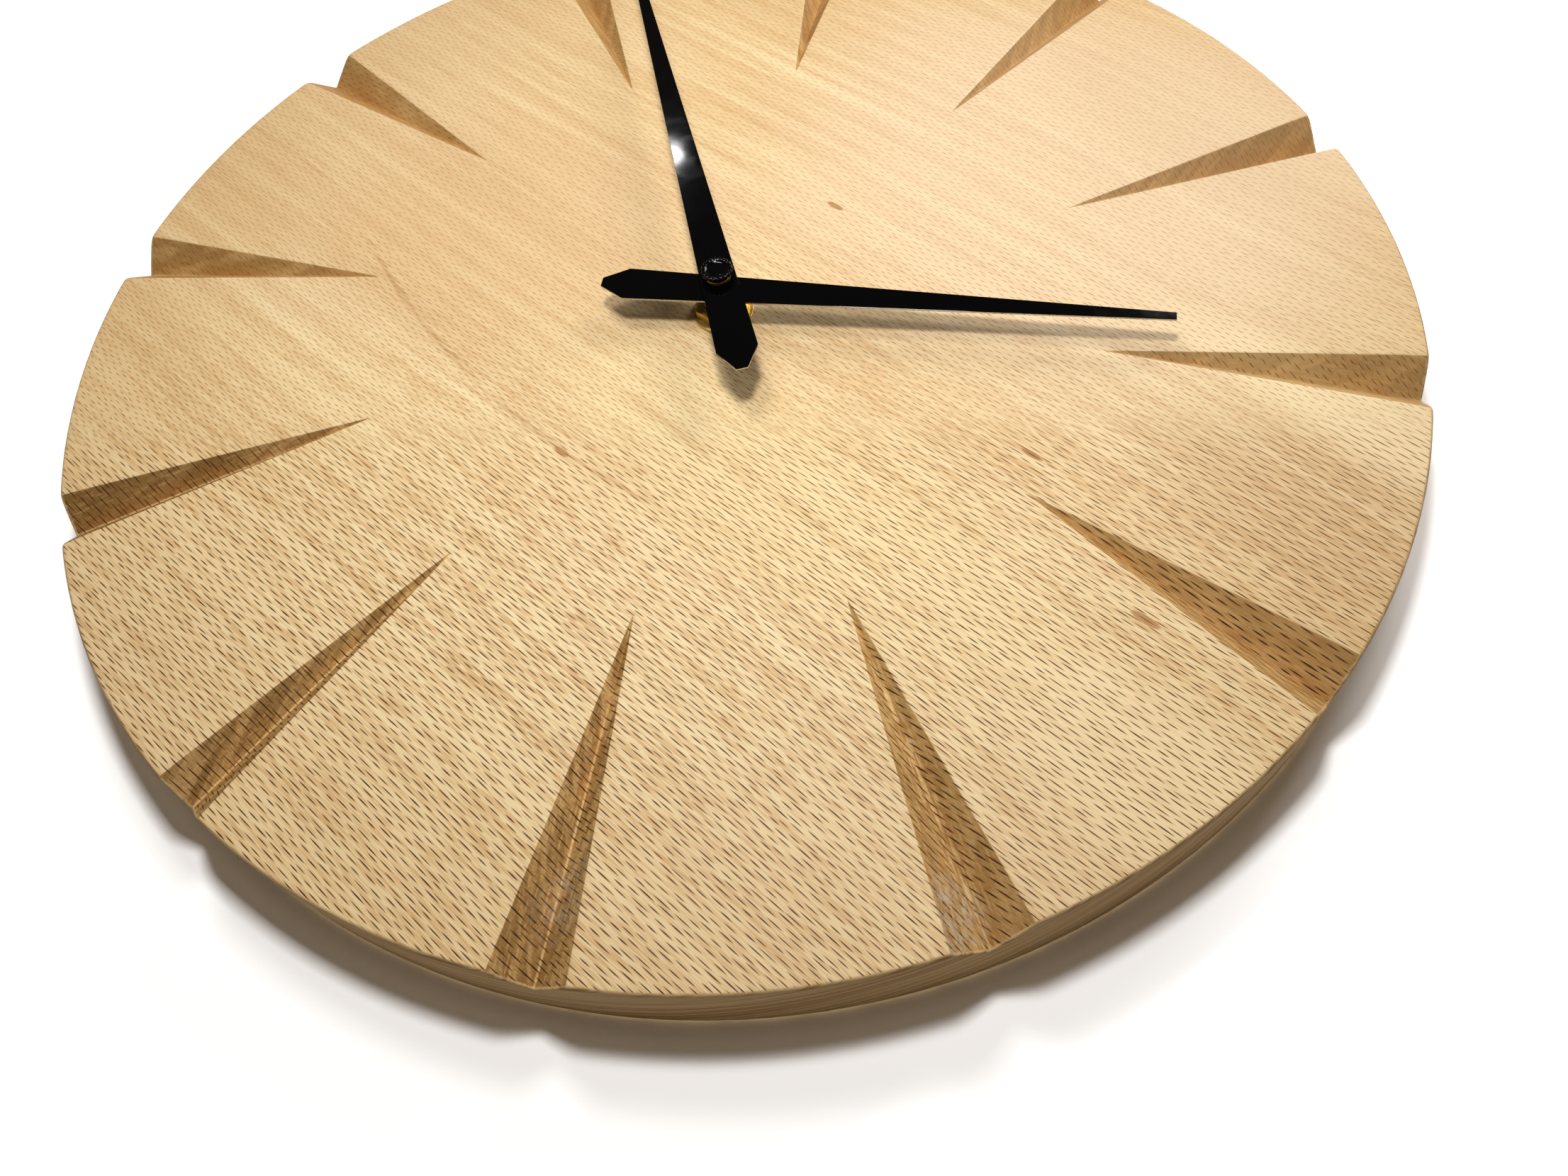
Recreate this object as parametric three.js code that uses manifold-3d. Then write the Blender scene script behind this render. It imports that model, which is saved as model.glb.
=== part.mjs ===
// Round wooden wall clock: a solid beech board with twelve V grooves, two stamped metal hands and a
// quartz movement let into the back of the board.
//
// Lengths are millimetres. Every piece is drawn as seen from in front of the dial: x towards 3 o'clock,
// y towards 12 o'clock, and z out from the wall, which is z = 0. The axis of the hands is x = y = 0.
// At the end the whole clock is stood upright, so that 12 o'clock is +Z and the dial looks along -Y.

import * as THREE from "three";
import { mergeVertices } from "three/addons/utils/BufferGeometryUtils.js";
import Module from "manifold-3d";

const wasm = await Module();
wasm.setup();

// Clearances shared by all the pieces
const seatGap = 0.1; // between two faces that rest on each other
const runningGap = 0.08; // radial, between a shaft and what it turns in
const fitGap = 0.1; // radial, around a fixed shank, rivet or shaft
const endShake = 0.3; // along a shaft, between a turning piece and a fixed one
const overrun = 2; // how far a cutter reaches past the face that it cuts

// The board
const boardDiameter = 300;
const boardThickness = 20;
const boardSides = 96;
const frontEasing = 0.8; // radius of the sanded front edge
const frontEasingSteps = 3;
const backEasing = 1;
const grooveCount = 12;
const grooveLength = 66; // from the rim towards the middle
const grooveWidth = 14.4; // across its mouth at the rim
const grooveDepth = 6.4; // at the rim
const dialSkin = 3.2; // wood left in front of the movement
const pocketPlay = 2; // around the movement
const pocketCorner = 6; // radius of the router bit

// The hanger on the back of the board
const hangerHeight = 100; // above the axis of the hands
const hangerLength = 45;
const hangerWidth = 9;
const hangerThickness = 1;
const hangerCorner = 2.5;
const hangerInset = 1.4; // of its back below the back of the board
const hangerTeeth = 9;
const hangerToothWidth = 2;
const hangerToothDepth = 1.2;
const hangerScrewFromEnd = 4.5;
const nailSlotFromScrew = 5;
const nailSlotWidth = 19;
const nailSlotDepth = 9;
const nailSlotCorner = 4;
const screwHeadDiameter = 5;
const screwHeadHeight = 1;
const screwShankDiameter = 2.2;
const screwLength = 9;
const screwPointLength = 2;

// Fixing of the movement
const rubberThickness = 0.6;
const rubberDiameter = 19;
const bushDiameter = 8;
const bushBore = 5.2;
const bushFlangeDiameter = 12;
const bushFlangeThickness = 0.5;
const bushAboveDial = 4.2;
const washerDiameter = 13.7;
const washerThickness = 0.6;
const nutAcrossFlats = 11;
const nutHeight = 2.2;
const nutChamferShare = 0.2; // of the nut's height
const nutSides = 6;
const nutTurn = 0; // degrees from 3 o'clock to a corner, as it came to rest when tightened

// The hands, each a flat stamping with a tail that is cut to a blunt point
const handThickness = 0.4;
const hourHandAngle = 57.8; // degrees clockwise from 12
const hourHandLength = 97.8;
const hourHandAboveDial = 6.6;
const minuteHandAngle = 306.2;
const minuteHandLength = 120;
const minuteHandAboveDial = 10.3;
const handTipWidth = 2.04;
const handShoulderWidth = 9.1;
const handShoulderBack = 21.5; // from the axis to the widest place of the tail
const handTailBack = 27.2; // from the axis to the end of the tail
const handTailWidth = 2.5;

// Hubs of the hands and the cap nut
const hourPipeDiameter = 5;
const hourPipeBore = 3.7;
const hourColletDiameter = 8;
const hourColletLength = 1.7;
const hourRivetDiameter = 6;
const hourRivetProud = 0.5;
const minuteShaftDiameter = 3.5;
const minuteColletDiameter = 7;
const minuteColletLength = 2;
const minuteRivetDiameter = 5.6;
const minuteRivetProud = 0.7;
const capNutDiameter = 7.05;
const capNutHeight = 1.7;
const capNutEasing = 0.45;
const capNutRidges = 22;
const capNutRidgeDepth = 0.22;
const capThreadDiameter = 2.6;
const capThreadDepth = 1.1;

// The movement's case
const caseSide = 56;
const caseCorner = 4;
const caseWall = 1.2;
const caseFrontWall = 1;
const caseOffWall = 0.6; // between the back of the case and the wall
const coverThickness = 1;
const coverPlay = 0.2;
const bridgeOffCoil = 0.8;
const fingerNotchWidth = 16; // in the case's wall, for lifting the cell out
const fingerNotchDepth = 6;
const postSide = 3; // of the square posts in the corners that carry the cover
const ledgeWidth = 1.5; // of the ledges that carry the bridge
const ledgeLength = 20;

// The cell and its contacts
const cellDiameter = 14.2;
const cellLength = 49.2;
const cellPlay = 0.4;
const cellNubDiameter = 5.5;
const cellNubLength = 1;
const cellRimEasing = 0.6;
const contactThickness = 0.4;
const contactWidth = 8;
const contactHeight = 10;
const contactSpringTravel = 1.5;

// The wheels, from the dial down to the cover
const wheelThickness = 0.8;
const levelGap = 0.7;
const pinionProud = 0.2; // of a pinion past both faces of the wheel that it drives
const coverGap = 0.4;
const bridgeThickness = 0.7;
const arborDiameter = 1;
const pivotDepth = 0.7;
const motionModule = 0.6; // wheels that carry the hands
const cannonTeeth = 10;
const minuteWheelTeeth = 30;
const minutePinionTeeth = 8;
const hourWheelTeeth = 32;
const minuteWheelAngle = 170;
const knobPinionTeeth = 10;
const knobAngle = 120; // seen from the minute wheel
const rotorModule = 0.3;
const rotorTeeth = 6;
const fifthWheelTeeth = 36;
const secondModule = 0.4;
const fifthPinionTeeth = 8;
const secondWheelTeeth = 40;
const thirdModule = 0.36;
const secondPinionTeeth = 6;
const thirdWheelTeeth = 45;
const thirdPinionTeeth = 6;
const centreWheelTeeth = 48;
const thirdWheelAngle = 150;
const fifthWheelAngle = 40;
const rotorAngle = 60; // seen from the fifth wheel

// Tooth form, as shares of the module or of the tooth pitch
const toothAddendumShare = 0.85;
const toothDedendumShare = 1.25;
const wheelToothShare = 0.44;
const pinionToothShare = 0.36;

// The setting knob
const knobDiameter = 12;
const knobThickness = 1.6;
const knobRidges = 18;
const knobRidgeDepth = 0.5;
const knobArborDiameter = 3;
const knobCollarPlay = 0.6; // between the knob and the moulded collar round it
const knobCollarWidth = 0.9;
const knobCollarHeight = 1.4;

// The stepping motor
const magnetDiameter = 5.6;
const magnetHeight = 2.4;
const magnetAboveWheel = 1.3; // from the fifth wheel to the magnet
const airGap = 0.5;
const statorThickness = 0.8;
const statorHubDiameter = 10;
const statorBarWidth = 3;
const statorBarAbove = 3.8; // from the rotor to the middle of the bar
const statorLegWidth = 4.2;
const statorOverhang = 2; // of the legs past the coil's core
const coreWidth = 3;
const coreThickness = 1;
const coilLeft = -9;
const coilRight = 15;
const coilAboveRotor = 9.6;
const coilFlangeDiameter = 7.8;
const coilFlangeThickness = 0.8;
const bobbinDiameter = 4.2;
const bobbinBore = 3.5;
const windingDiameter = 7.2;
const motorPostDiameter = 3.6;

// The circuit board
const circuitLeft = 14.5;
const circuitWidth = 11.4;
const circuitBottom = -6.8;
const circuitHeight = 16;
const circuitThickness = 1;
const crystalDiameter = 2;
const crystalLength = 6;
const crystalFromEdge = 2.4;
const chipDiameter = 6;
const chipHeight = 1.2;
const chipShoulderShares = [0.7, 0.8]; // of the blob's radius and height, where it rounds over

// Roundness of turned and bored surfaces
const smallSides = 12;
const sides = 20;
const largeSides = 32;
const cornerSteps = 3;
const mergeTolerance = 1e-4;

const boardRadius = boardDiameter / 2;
const pocketFloor = boardThickness - dialSkin;
const pocketSide = caseSide + 2 * pocketPlay;
const hangerScrewSpacing = hangerLength - 2 * hangerScrewFromEnd;
const nailSlotLength = hangerScrewSpacing - 2 * nailSlotFromScrew;

// Depths in the movement, from the case front to the setting knob
const caseFront = pocketFloor - rubberThickness - 2 * seatGap;
const chamberFront = caseFront - caseFrontWall;
const bushFlangeFront = chamberFront - seatGap;
const hourWheelFront = bushFlangeFront - bushFlangeThickness - endShake;
const minuteWheelFront = hourWheelFront - wheelThickness - levelGap;
const bridgeFront = minuteWheelFront - wheelThickness - levelGap;
const centreWheelFront = bridgeFront - bridgeThickness - levelGap;
const thirdWheelFront = centreWheelFront - wheelThickness - levelGap;
const secondWheelFront = thirdWheelFront - wheelThickness - levelGap;
const fifthWheelFront = secondWheelFront - wheelThickness - levelGap;
const coverFront = fifthWheelFront - wheelThickness - coverGap;
const coverBack = coverFront - coverThickness;
const knobFront = coverBack - endShake;
const pivotBack = coverFront - pivotDepth + seatGap;

// Heights in the case, from the cell at the bottom to the train above it
const caseInside = caseSide / 2 - caseWall;
const cellBayHeight = cellDiameter + 2 * cellPlay;
const cellCentre = -caseInside + cellBayHeight / 2;
const chamberBottom = -caseInside + cellBayHeight + caseWall;

// Where the shafts stand
const minuteWheelPlace = polar(
  0,
  0,
  pitchDistance(cannonTeeth, minuteWheelTeeth, motionModule),
  minuteWheelAngle,
);
const knobPlace = polar(
  minuteWheelPlace.x,
  minuteWheelPlace.y,
  pitchDistance(minuteWheelTeeth, knobPinionTeeth, motionModule),
  knobAngle,
);
const thirdDistance = pitchDistance(secondPinionTeeth, thirdWheelTeeth, thirdModule);
const centreModule = (2 * thirdDistance) / (thirdPinionTeeth + centreWheelTeeth);
const thirdWheelPlace = polar(0, 0, thirdDistance, thirdWheelAngle);
const fifthWheelPlace = polar(
  0,
  0,
  pitchDistance(fifthPinionTeeth, secondWheelTeeth, secondModule),
  fifthWheelAngle,
);
const rotorPlace = polar(
  fifthWheelPlace.x,
  fifthWheelPlace.y,
  pitchDistance(rotorTeeth, fifthWheelTeeth, rotorModule),
  rotorAngle,
);

function radians(degrees) {
  return (degrees * Math.PI) / 180;
}

// The point at a distance and a counter-clockwise angle from another point
function polar(x, y, distance, degrees) {
  const angle = radians(degrees);
  return new THREE.Vector2(x + distance * Math.cos(angle), y + distance * Math.sin(angle));
}

function pitchDistance(teethA, teethB, module) {
  return ((teethA + teethB) * module) / 2;
}

// Turns a closed three.js geometry into a solid that can be cut and joined
function solid(geometry) {
  const bare = geometry.clone();
  bare.deleteAttribute("normal");
  bare.deleteAttribute("uv");
  const merged = mergeVertices(bare, mergeTolerance);
  const corners = merged.index.array;
  const kept = [];
  for (let start = 0; start < corners.length; start += 3) {
    const [a, b, c] = [corners[start], corners[start + 1], corners[start + 2]];
    if (a !== b && b !== c && c !== a) kept.push(a, b, c);
  }
  return new wasm.Manifold(
    new wasm.Mesh({
      numProp: 3,
      vertProperties: merged.attributes.position.array,
      triVerts: Uint32Array.from(kept),
    }),
  );
}

// A flat outline carried from one depth to another
function prism(shape, back, front, steps = sides) {
  const geometry = new THREE.ExtrudeGeometry(shape, {
    depth: front - back,
    bevelEnabled: false,
    curveSegments: steps,
  });
  geometry.translate(0, 0, back);
  return solid(geometry);
}

// A profile of radius and depth pairs turned about the axis through a place
function revolve(profile, steps = sides, place = new THREE.Vector2()) {
  const points = profile.map(([radius, depth]) => new THREE.Vector2(radius, depth));
  const geometry = new THREE.LatheGeometry(points, steps);
  geometry.rotateX(Math.PI / 2);
  geometry.translate(place.x, place.y, 0);
  return solid(geometry);
}

function rod(radius, back, front, place, steps = sides) {
  return revolve([[0, back], [radius, back], [radius, front], [0, front]], steps, place);
}

// A tube's profile runs back to its first point
function ring(bore, radius, back, front, steps = sides, place = undefined) {
  return revolve([[bore, back], [radius, back], [radius, front], [bore, front], [bore, back]], steps, place);
}

// The same as revolve, about a line along x at a height and depth
function revolveAlongX(profile, height, depth, steps = sides) {
  const points = profile.map(([radius, along]) => new THREE.Vector2(radius, along));
  const geometry = new THREE.LatheGeometry(points, steps);
  geometry.rotateZ(-Math.PI / 2);
  geometry.translate(0, height, depth);
  return solid(geometry);
}

function box(left, right, bottom, top, back, front) {
  const geometry = new THREE.BoxGeometry(right - left, top - bottom, front - back);
  geometry.translate((left + right) / 2, (bottom + top) / 2, (back + front) / 2);
  return solid(geometry);
}

// Points of an arc in a profile, from one angle to another in degrees
function arc(centre, radius, from, to, steps) {
  return Array.from({ length: steps + 1 }, (_, step) => {
    const angle = radians(from + ((to - from) * step) / steps);
    return [centre[0] + radius * Math.cos(angle), centre[1] + radius * Math.sin(angle)];
  });
}

function roundedRectangle(left, right, bottom, top, corner) {
  const shape = new THREE.Shape();
  shape.absarc(right - corner, bottom + corner, corner, -Math.PI / 2, 0);
  shape.absarc(right - corner, top - corner, corner, 0, Math.PI / 2);
  shape.absarc(left + corner, top - corner, corner, Math.PI / 2, Math.PI);
  shape.absarc(left + corner, bottom + corner, corner, Math.PI, Math.PI * 1.5);
  shape.closePath();
  return shape;
}

function polygon(points) {
  return new THREE.Shape(points.map(([x, y]) => new THREE.Vector2(x, y)));
}

function joined(first, ...others) {
  return others.reduce((whole, other) => whole.add(other), first);
}

function cut(first, ...others) {
  return others.reduce((whole, other) => whole.subtract(other), first);
}

// Teeth with straight radial flanks below the pitch circle and a point above it, as on clock wheels.
// phase is the angle in radians of the middle of the first tooth.
function toothedOutline(teeth, module, toothShare, phase) {
  const pitchRadius = (teeth * module) / 2;
  const tipRadius = pitchRadius + module * toothAddendumShare;
  const rootRadius = pitchRadius - module * toothDedendumShare;
  const halfTooth = (Math.PI * toothShare) / teeth;
  const corners = [
    [rootRadius, -halfTooth],
    [pitchRadius, -halfTooth],
    [tipRadius, 0],
    [pitchRadius, halfTooth],
    [rootRadius, halfTooth],
  ];
  const points = [];
  for (let tooth = 0; tooth < teeth; tooth += 1) {
    const middle = phase + (2 * Math.PI * tooth) / teeth;
    for (const [radius, offset] of corners) {
      points.push([radius * Math.cos(middle + offset), radius * Math.sin(middle + offset)]);
    }
  }
  return polygon(points);
}

function wheel(teeth, module, phase, front, place) {
  const shape = toothedOutline(teeth, module, wheelToothShare, phase);
  return toothed(shape, front - wheelThickness, front, place);
}

// A pinion reaches a little past both faces of the wheel in front of which it stands
function pinion(teeth, module, phase, drivenFront, place) {
  const shape = toothedOutline(teeth, module, pinionToothShare, phase);
  return toothed(shape, drivenFront - wheelThickness - pinionProud, drivenFront + pinionProud, place);
}

function toothed(shape, back, front, place) {
  const geometry = new THREE.ExtrudeGeometry(shape, { depth: front - back, bevelEnabled: false });
  geometry.translate(place.x, place.y, back);
  return solid(geometry);
}

// The phase at which a gear's gaps take the teeth of another gear. direction is the angle in degrees
// from the other gear's centre to this one's.
function meshedPhase(otherPhase, otherTeeth, teeth, direction) {
  const line = radians(direction);
  return line + Math.PI - ((otherPhase - line) * otherTeeth) / teeth + Math.PI / teeth;
}

const cannonPhase = 0;
const minuteWheelPhase = meshedPhase(cannonPhase, cannonTeeth, minuteWheelTeeth, minuteWheelAngle);
const minutePinionPhase = 0;
const hourWheelPhase = meshedPhase(
  minutePinionPhase,
  minutePinionTeeth,
  hourWheelTeeth,
  minuteWheelAngle + 180,
);
const knobPhase = meshedPhase(minuteWheelPhase, minuteWheelTeeth, knobPinionTeeth, knobAngle);
const rotorPhase = 0;
const fifthWheelPhase = meshedPhase(rotorPhase, rotorTeeth, fifthWheelTeeth, rotorAngle + 180);
const fifthPinionPhase = 0;
const secondWheelPhase = meshedPhase(
  fifthPinionPhase,
  fifthPinionTeeth,
  secondWheelTeeth,
  fifthWheelAngle + 180,
);
const secondPinionPhase = 0;
const thirdWheelPhase = meshedPhase(secondPinionPhase, secondPinionTeeth, thirdWheelTeeth, thirdWheelAngle);
const thirdPinionPhase = 0;
const centreWheelPhase = meshedPhase(
  thirdPinionPhase,
  thirdPinionTeeth,
  centreWheelTeeth,
  thirdWheelAngle + 180,
);

// One V groove, cut deeper and wider towards the rim. The cutter is a pyramid whose keel rises from
// the bottom of the groove at the rim to the face of the board at the groove's point.
function grooveCutter(degreesFromTwelve) {
  const slope = grooveDepth / grooveLength;
  const flare = grooveWidth / 2 / grooveDepth;
  const point = boardRadius - grooveLength;
  const keelHigh = [0, point - overrun / slope, boardThickness + overrun];
  const keelLow = [0, boardRadius + overrun, boardThickness - (grooveLength + overrun) * slope];
  const halfTop = flare * (boardThickness + overrun - keelLow[2]);
  const topRight = [halfTop, boardRadius + overrun, boardThickness + overrun];
  const topLeft = [-halfTop, boardRadius + overrun, boardThickness + overrun];
  const geometry = new THREE.BufferGeometry();
  const corners = [...keelHigh, ...keelLow, ...topRight, ...topLeft];
  geometry.setAttribute("position", new THREE.Float32BufferAttribute(corners, 3));
  geometry.setIndex([0, 2, 3, 0, 1, 2, 0, 3, 1, 1, 3, 2]);
  geometry.rotateZ(-radians(degreesFromTwelve));
  return solid(geometry);
}

function dialBoard() {
  const frontCorner = [boardRadius - frontEasing, boardThickness - frontEasing];
  const blank = revolve(
    [
      [0, 0],
      [boardRadius - backEasing, 0],
      [boardRadius, backEasing],
      ...arc(frontCorner, frontEasing, 0, 90, frontEasingSteps),
      [0, boardThickness],
    ],
    boardSides,
  );
  const half = pocketSide / 2;
  const pocketOutline = roundedRectangle(-half, half, -half, half, pocketCorner);
  const pocket = prism(pocketOutline, -overrun, pocketFloor, cornerSteps);
  const bushHole = rod(bushDiameter / 2 + fitGap, pocketFloor - overrun, boardThickness + overrun);
  const grooves = Array.from({ length: grooveCount }, (_, hour) =>
    grooveCutter((360 * hour) / grooveCount),
  );
  return cut(blank, pocket, bushHole, ...grooves, ...hangerCuts());
}

// The shallow seat of the hanger, the deep slot for the nail below it and the two screw holes
function hangerCuts() {
  const seat = roundedRectangle(
    -hangerLength / 2 - fitGap,
    hangerLength / 2 + fitGap,
    hangerHeight - hangerWidth / 2 - fitGap,
    hangerHeight + hangerWidth / 2 + fitGap,
    hangerCorner,
  );
  const nailSlot = roundedRectangle(
    -nailSlotLength / 2,
    nailSlotLength / 2,
    hangerHeight + hangerWidth / 2 - nailSlotWidth,
    hangerHeight + hangerWidth / 2 + fitGap,
    nailSlotCorner,
  );
  const seatDepth = hangerInset + hangerThickness + seatGap;
  const holeDepth = screwHeadBack() + screwHeadHeight + screwLength + seatGap;
  return [
    prism(seat, -overrun, seatDepth, cornerSteps),
    prism(nailSlot, -overrun, nailSlotDepth, cornerSteps),
    ...screwHoles(-overrun, holeDepth),
  ];
}

function screwPlaces() {
  return [-1, 1].map((side) => new THREE.Vector2((side * hangerScrewSpacing) / 2, hangerHeight));
}

function screwHeadBack() {
  return hangerInset - seatGap - screwHeadHeight;
}

function screwHoles(back, front) {
  const radius = screwShankDiameter / 2 + fitGap;
  return screwPlaces().map((place) => rod(radius, back, front, place, smallSides));
}

// A steel strip whose lower edge has a row of notches for the head of the nail
function sawtoothHanger() {
  const top = hangerHeight + hangerWidth / 2;
  const bottom = hangerHeight - hangerWidth / 2;
  const front = hangerInset + hangerThickness;
  const blank = roundedRectangle(-hangerLength / 2, hangerLength / 2, bottom, top, hangerCorner);
  const notches = [];
  for (let tooth = 0; tooth < hangerTeeth; tooth += 1) {
    const middle = (tooth - (hangerTeeth - 1) / 2) * hangerToothWidth;
    const notch = polygon([
      [middle - hangerToothWidth / 2, bottom - overrun],
      [middle + hangerToothWidth / 2, bottom - overrun],
      [middle + hangerToothWidth / 2, bottom],
      [middle, bottom + hangerToothDepth],
      [middle - hangerToothWidth / 2, bottom],
    ]);
    notches.push(prism(notch, hangerInset - overrun, front + overrun));
  }
  const holes = screwHoles(hangerInset - overrun, front + overrun);
  return cut(prism(blank, hangerInset, front, cornerSteps), ...notches, ...holes);
}

// A pan-head wood screw, driven in from the back
function hangerScrew(place) {
  const headBack = screwHeadBack();
  const headFront = headBack + screwHeadHeight;
  const tip = headFront + screwLength;
  return revolve(
    [
      [0, headBack],
      [screwHeadDiameter / 2 - screwHeadHeight / 2, headBack],
      [screwHeadDiameter / 2, headBack + screwHeadHeight / 2],
      [screwHeadDiameter / 2, headFront],
      [screwShankDiameter / 2, headFront],
      [screwShankDiameter / 2, tip - screwPointLength],
      [0, tip],
    ],
    smallSides,
    place,
  );
}

function rubberWasher() {
  const back = caseFront + seatGap;
  return ring(bushDiameter / 2 + fitGap, rubberDiameter / 2, back, back + rubberThickness, largeSides);
}

function washerBack() {
  return boardThickness + seatGap;
}

function brassWasher() {
  const front = washerBack() + washerThickness;
  return ring(bushDiameter / 2 + fitGap, washerDiameter / 2, washerBack(), front, largeSides);
}

// A hexagonal nut with its corners turned off on the front
function fixingNut() {
  const back = washerBack() + washerThickness + seatGap;
  const front = back + nutHeight;
  const cornerRadius = nutAcrossFlats / 2 / Math.cos(Math.PI / nutSides);
  const corners = Array.from({ length: nutSides }, (_, corner) => {
    const angle = radians(nutTurn + (360 * corner) / nutSides);
    return [cornerRadius * Math.cos(angle), cornerRadius * Math.sin(angle)];
  });
  const turned = revolve(
    [
      [bushDiameter / 2 + fitGap, back],
      [cornerRadius, back],
      [cornerRadius, front - nutHeight * nutChamferShare],
      [nutAcrossFlats / 2, front],
      [bushDiameter / 2 + fitGap, front],
      [bushDiameter / 2 + fitGap, back],
    ],
    sides,
  );
  return prism(polygon(corners), back, front).intersect(turned);
}

// The brass bush is pressed into the case from inside, and holds the movement to the board
function threadedBush() {
  const flangeBack = bushFlangeFront - bushFlangeThickness;
  const front = boardThickness + bushAboveDial;
  return revolve([
    [bushBore / 2, flangeBack],
    [bushFlangeDiameter / 2, flangeBack],
    [bushFlangeDiameter / 2, bushFlangeFront],
    [bushDiameter / 2, bushFlangeFront],
    [bushDiameter / 2, front],
    [bushBore / 2, front],
    [bushBore / 2, flangeBack],
  ]);
}

// Outline of a hand that points to 12, turned clockwise to its place
function handOutline(length, rivetDiameter, degreesFromTwelve) {
  const turn = -radians(degreesFromTwelve);
  const points = [
    [handTipWidth / 2, length],
    [-handTipWidth / 2, length],
    [-handShoulderWidth / 2, -handShoulderBack],
    [-handTailWidth / 2, -handTailBack],
    [handTailWidth / 2, -handTailBack],
    [handShoulderWidth / 2, -handShoulderBack],
  ];
  const axis = new THREE.Vector2();
  const shape = new THREE.Shape(points.map(([x, y]) => new THREE.Vector2(x, y).rotateAround(axis, turn)));
  const hole = new THREE.Path();
  hole.absarc(0, 0, rivetDiameter / 2 + fitGap, 0, 2 * Math.PI, true);
  shape.holes.push(hole);
  return shape;
}

function hourHand() {
  const back = boardThickness + hourHandAboveDial;
  const outline = handOutline(hourHandLength, hourRivetDiameter, hourHandAngle);
  return prism(outline, back, back + handThickness);
}

function minuteHand() {
  const back = boardThickness + minuteHandAboveDial;
  const outline = handOutline(minuteHandLength, minuteRivetDiameter, minuteHandAngle);
  return prism(outline, back, back + handThickness);
}

// The brass hub riveted in a hand: a collar under the hand, and a rivet through it that stands proud
function collet(shaftDiameter, collarDiameter, collarLength, rivetDiameter, rivetProud, handAboveDial) {
  const handBack = boardThickness + handAboveDial;
  const bore = shaftDiameter / 2 + fitGap;
  const collarFront = handBack - seatGap;
  const collarBack = collarFront - collarLength;
  const front = handBack + handThickness + rivetProud;
  return revolve([
    [bore, collarBack],
    [collarDiameter / 2, collarBack],
    [collarDiameter / 2, collarFront],
    [rivetDiameter / 2, collarFront],
    [rivetDiameter / 2, front],
    [bore, front],
    [bore, collarBack],
  ]);
}

function hourHandCollet() {
  return collet(
    hourPipeDiameter,
    hourColletDiameter,
    hourColletLength,
    hourRivetDiameter,
    hourRivetProud,
    hourHandAboveDial,
  );
}

function minuteHandCollet() {
  return collet(
    minuteShaftDiameter,
    minuteColletDiameter,
    minuteColletLength,
    minuteRivetDiameter,
    minuteRivetProud,
    minuteHandAboveDial,
  );
}

function hourPipeFront() {
  return boardThickness + hourHandAboveDial + handThickness + hourRivetProud;
}

function minuteShaftFront() {
  return boardThickness + minuteHandAboveDial + handThickness + minuteRivetProud;
}

// A circle with ridges round it, for a finger to grip
function ridgedOutline(radius, ridges, depth, place = new THREE.Vector2()) {
  const points = Array.from({ length: 2 * ridges }, (_, step) => {
    const angle = (Math.PI * step) / ridges;
    const reach = step % 2 === 0 ? radius : radius - depth;
    return [place.x + reach * Math.cos(angle), place.y + reach * Math.sin(angle)];
  });
  return polygon(points);
}

// The black knurled nut that closes the end of the minute shaft
function capNut() {
  const back = minuteShaftFront() + seatGap;
  const front = back + capNutHeight;
  const radius = capNutDiameter / 2;
  const turned = revolve(
    [
      [0, back],
      [radius, back],
      ...arc([radius - capNutEasing, front - capNutEasing], capNutEasing, 0, 90, cornerSteps),
      [0, front],
    ],
    2 * capNutRidges,
  );
  const ridges = ridgedOutline(radius, capNutRidges, capNutRidgeDepth);
  const thread = rod(capThreadDiameter / 2 + fitGap, back - overrun, back + capThreadDepth);
  return cut(turned.intersect(prism(ridges, back - overrun, front + overrun)), thread);
}

// The motion works, which gear the hour hand to a twelfth of the minute hand
function hourWheel() {
  const front = hourPipeFront();
  const back = hourWheelFront - wheelThickness;
  const middle = new THREE.Vector2();
  const toothedWheel = wheel(hourWheelTeeth, motionModule, hourWheelPhase, hourWheelFront, middle);
  const pipe = rod(hourPipeDiameter / 2, back, front);
  const bore = rod(hourPipeBore / 2, back - overrun, front + overrun);
  return cut(joined(toothedWheel, pipe), bore);
}

function pivotHoles(places, back, front) {
  const radius = arborDiameter / 2 + runningGap;
  return places.map((place) => rod(radius, back, front, place, smallSides));
}

function minuteArbor() {
  const back = centreWheelFront - wheelThickness - seatGap;
  const shoulder = minuteShaftFront();
  const shaft = rod(minuteShaftDiameter / 2, back, shoulder);
  const thread = rod(capThreadDiameter / 2, shoulder - overrun, shoulder + capThreadDepth);
  const middle = new THREE.Vector2();
  const cannon = pinion(cannonTeeth, motionModule, cannonPhase, minuteWheelFront, middle);
  const [socket] = pivotHoles([middle], back - overrun, back + pivotDepth + seatGap);
  return cut(joined(shaft, thread, cannon), socket);
}

function minuteWheel() {
  const front = chamberFront + pivotDepth - seatGap;
  return joined(
    wheel(minuteWheelTeeth, motionModule, minuteWheelPhase, minuteWheelFront, minuteWheelPlace),
    pinion(minutePinionTeeth, motionModule, minutePinionPhase, hourWheelFront, minuteWheelPlace),
    rod(arborDiameter / 2, minuteWheelFront - wheelThickness, front, minuteWheelPlace, smallSides),
    rod(arborDiameter / 2, bridgeFront - bridgeThickness, minuteWheelFront, minuteWheelPlace, smallSides),
  );
}

// The going train, from the motor's rotor to the centre wheel
function trainWheel(wheelSolid, pinionSolid, place) {
  return joined(wheelSolid, pinionSolid, rod(arborDiameter / 2, pivotBack, bridgeFront, place, smallSides));
}

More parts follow.
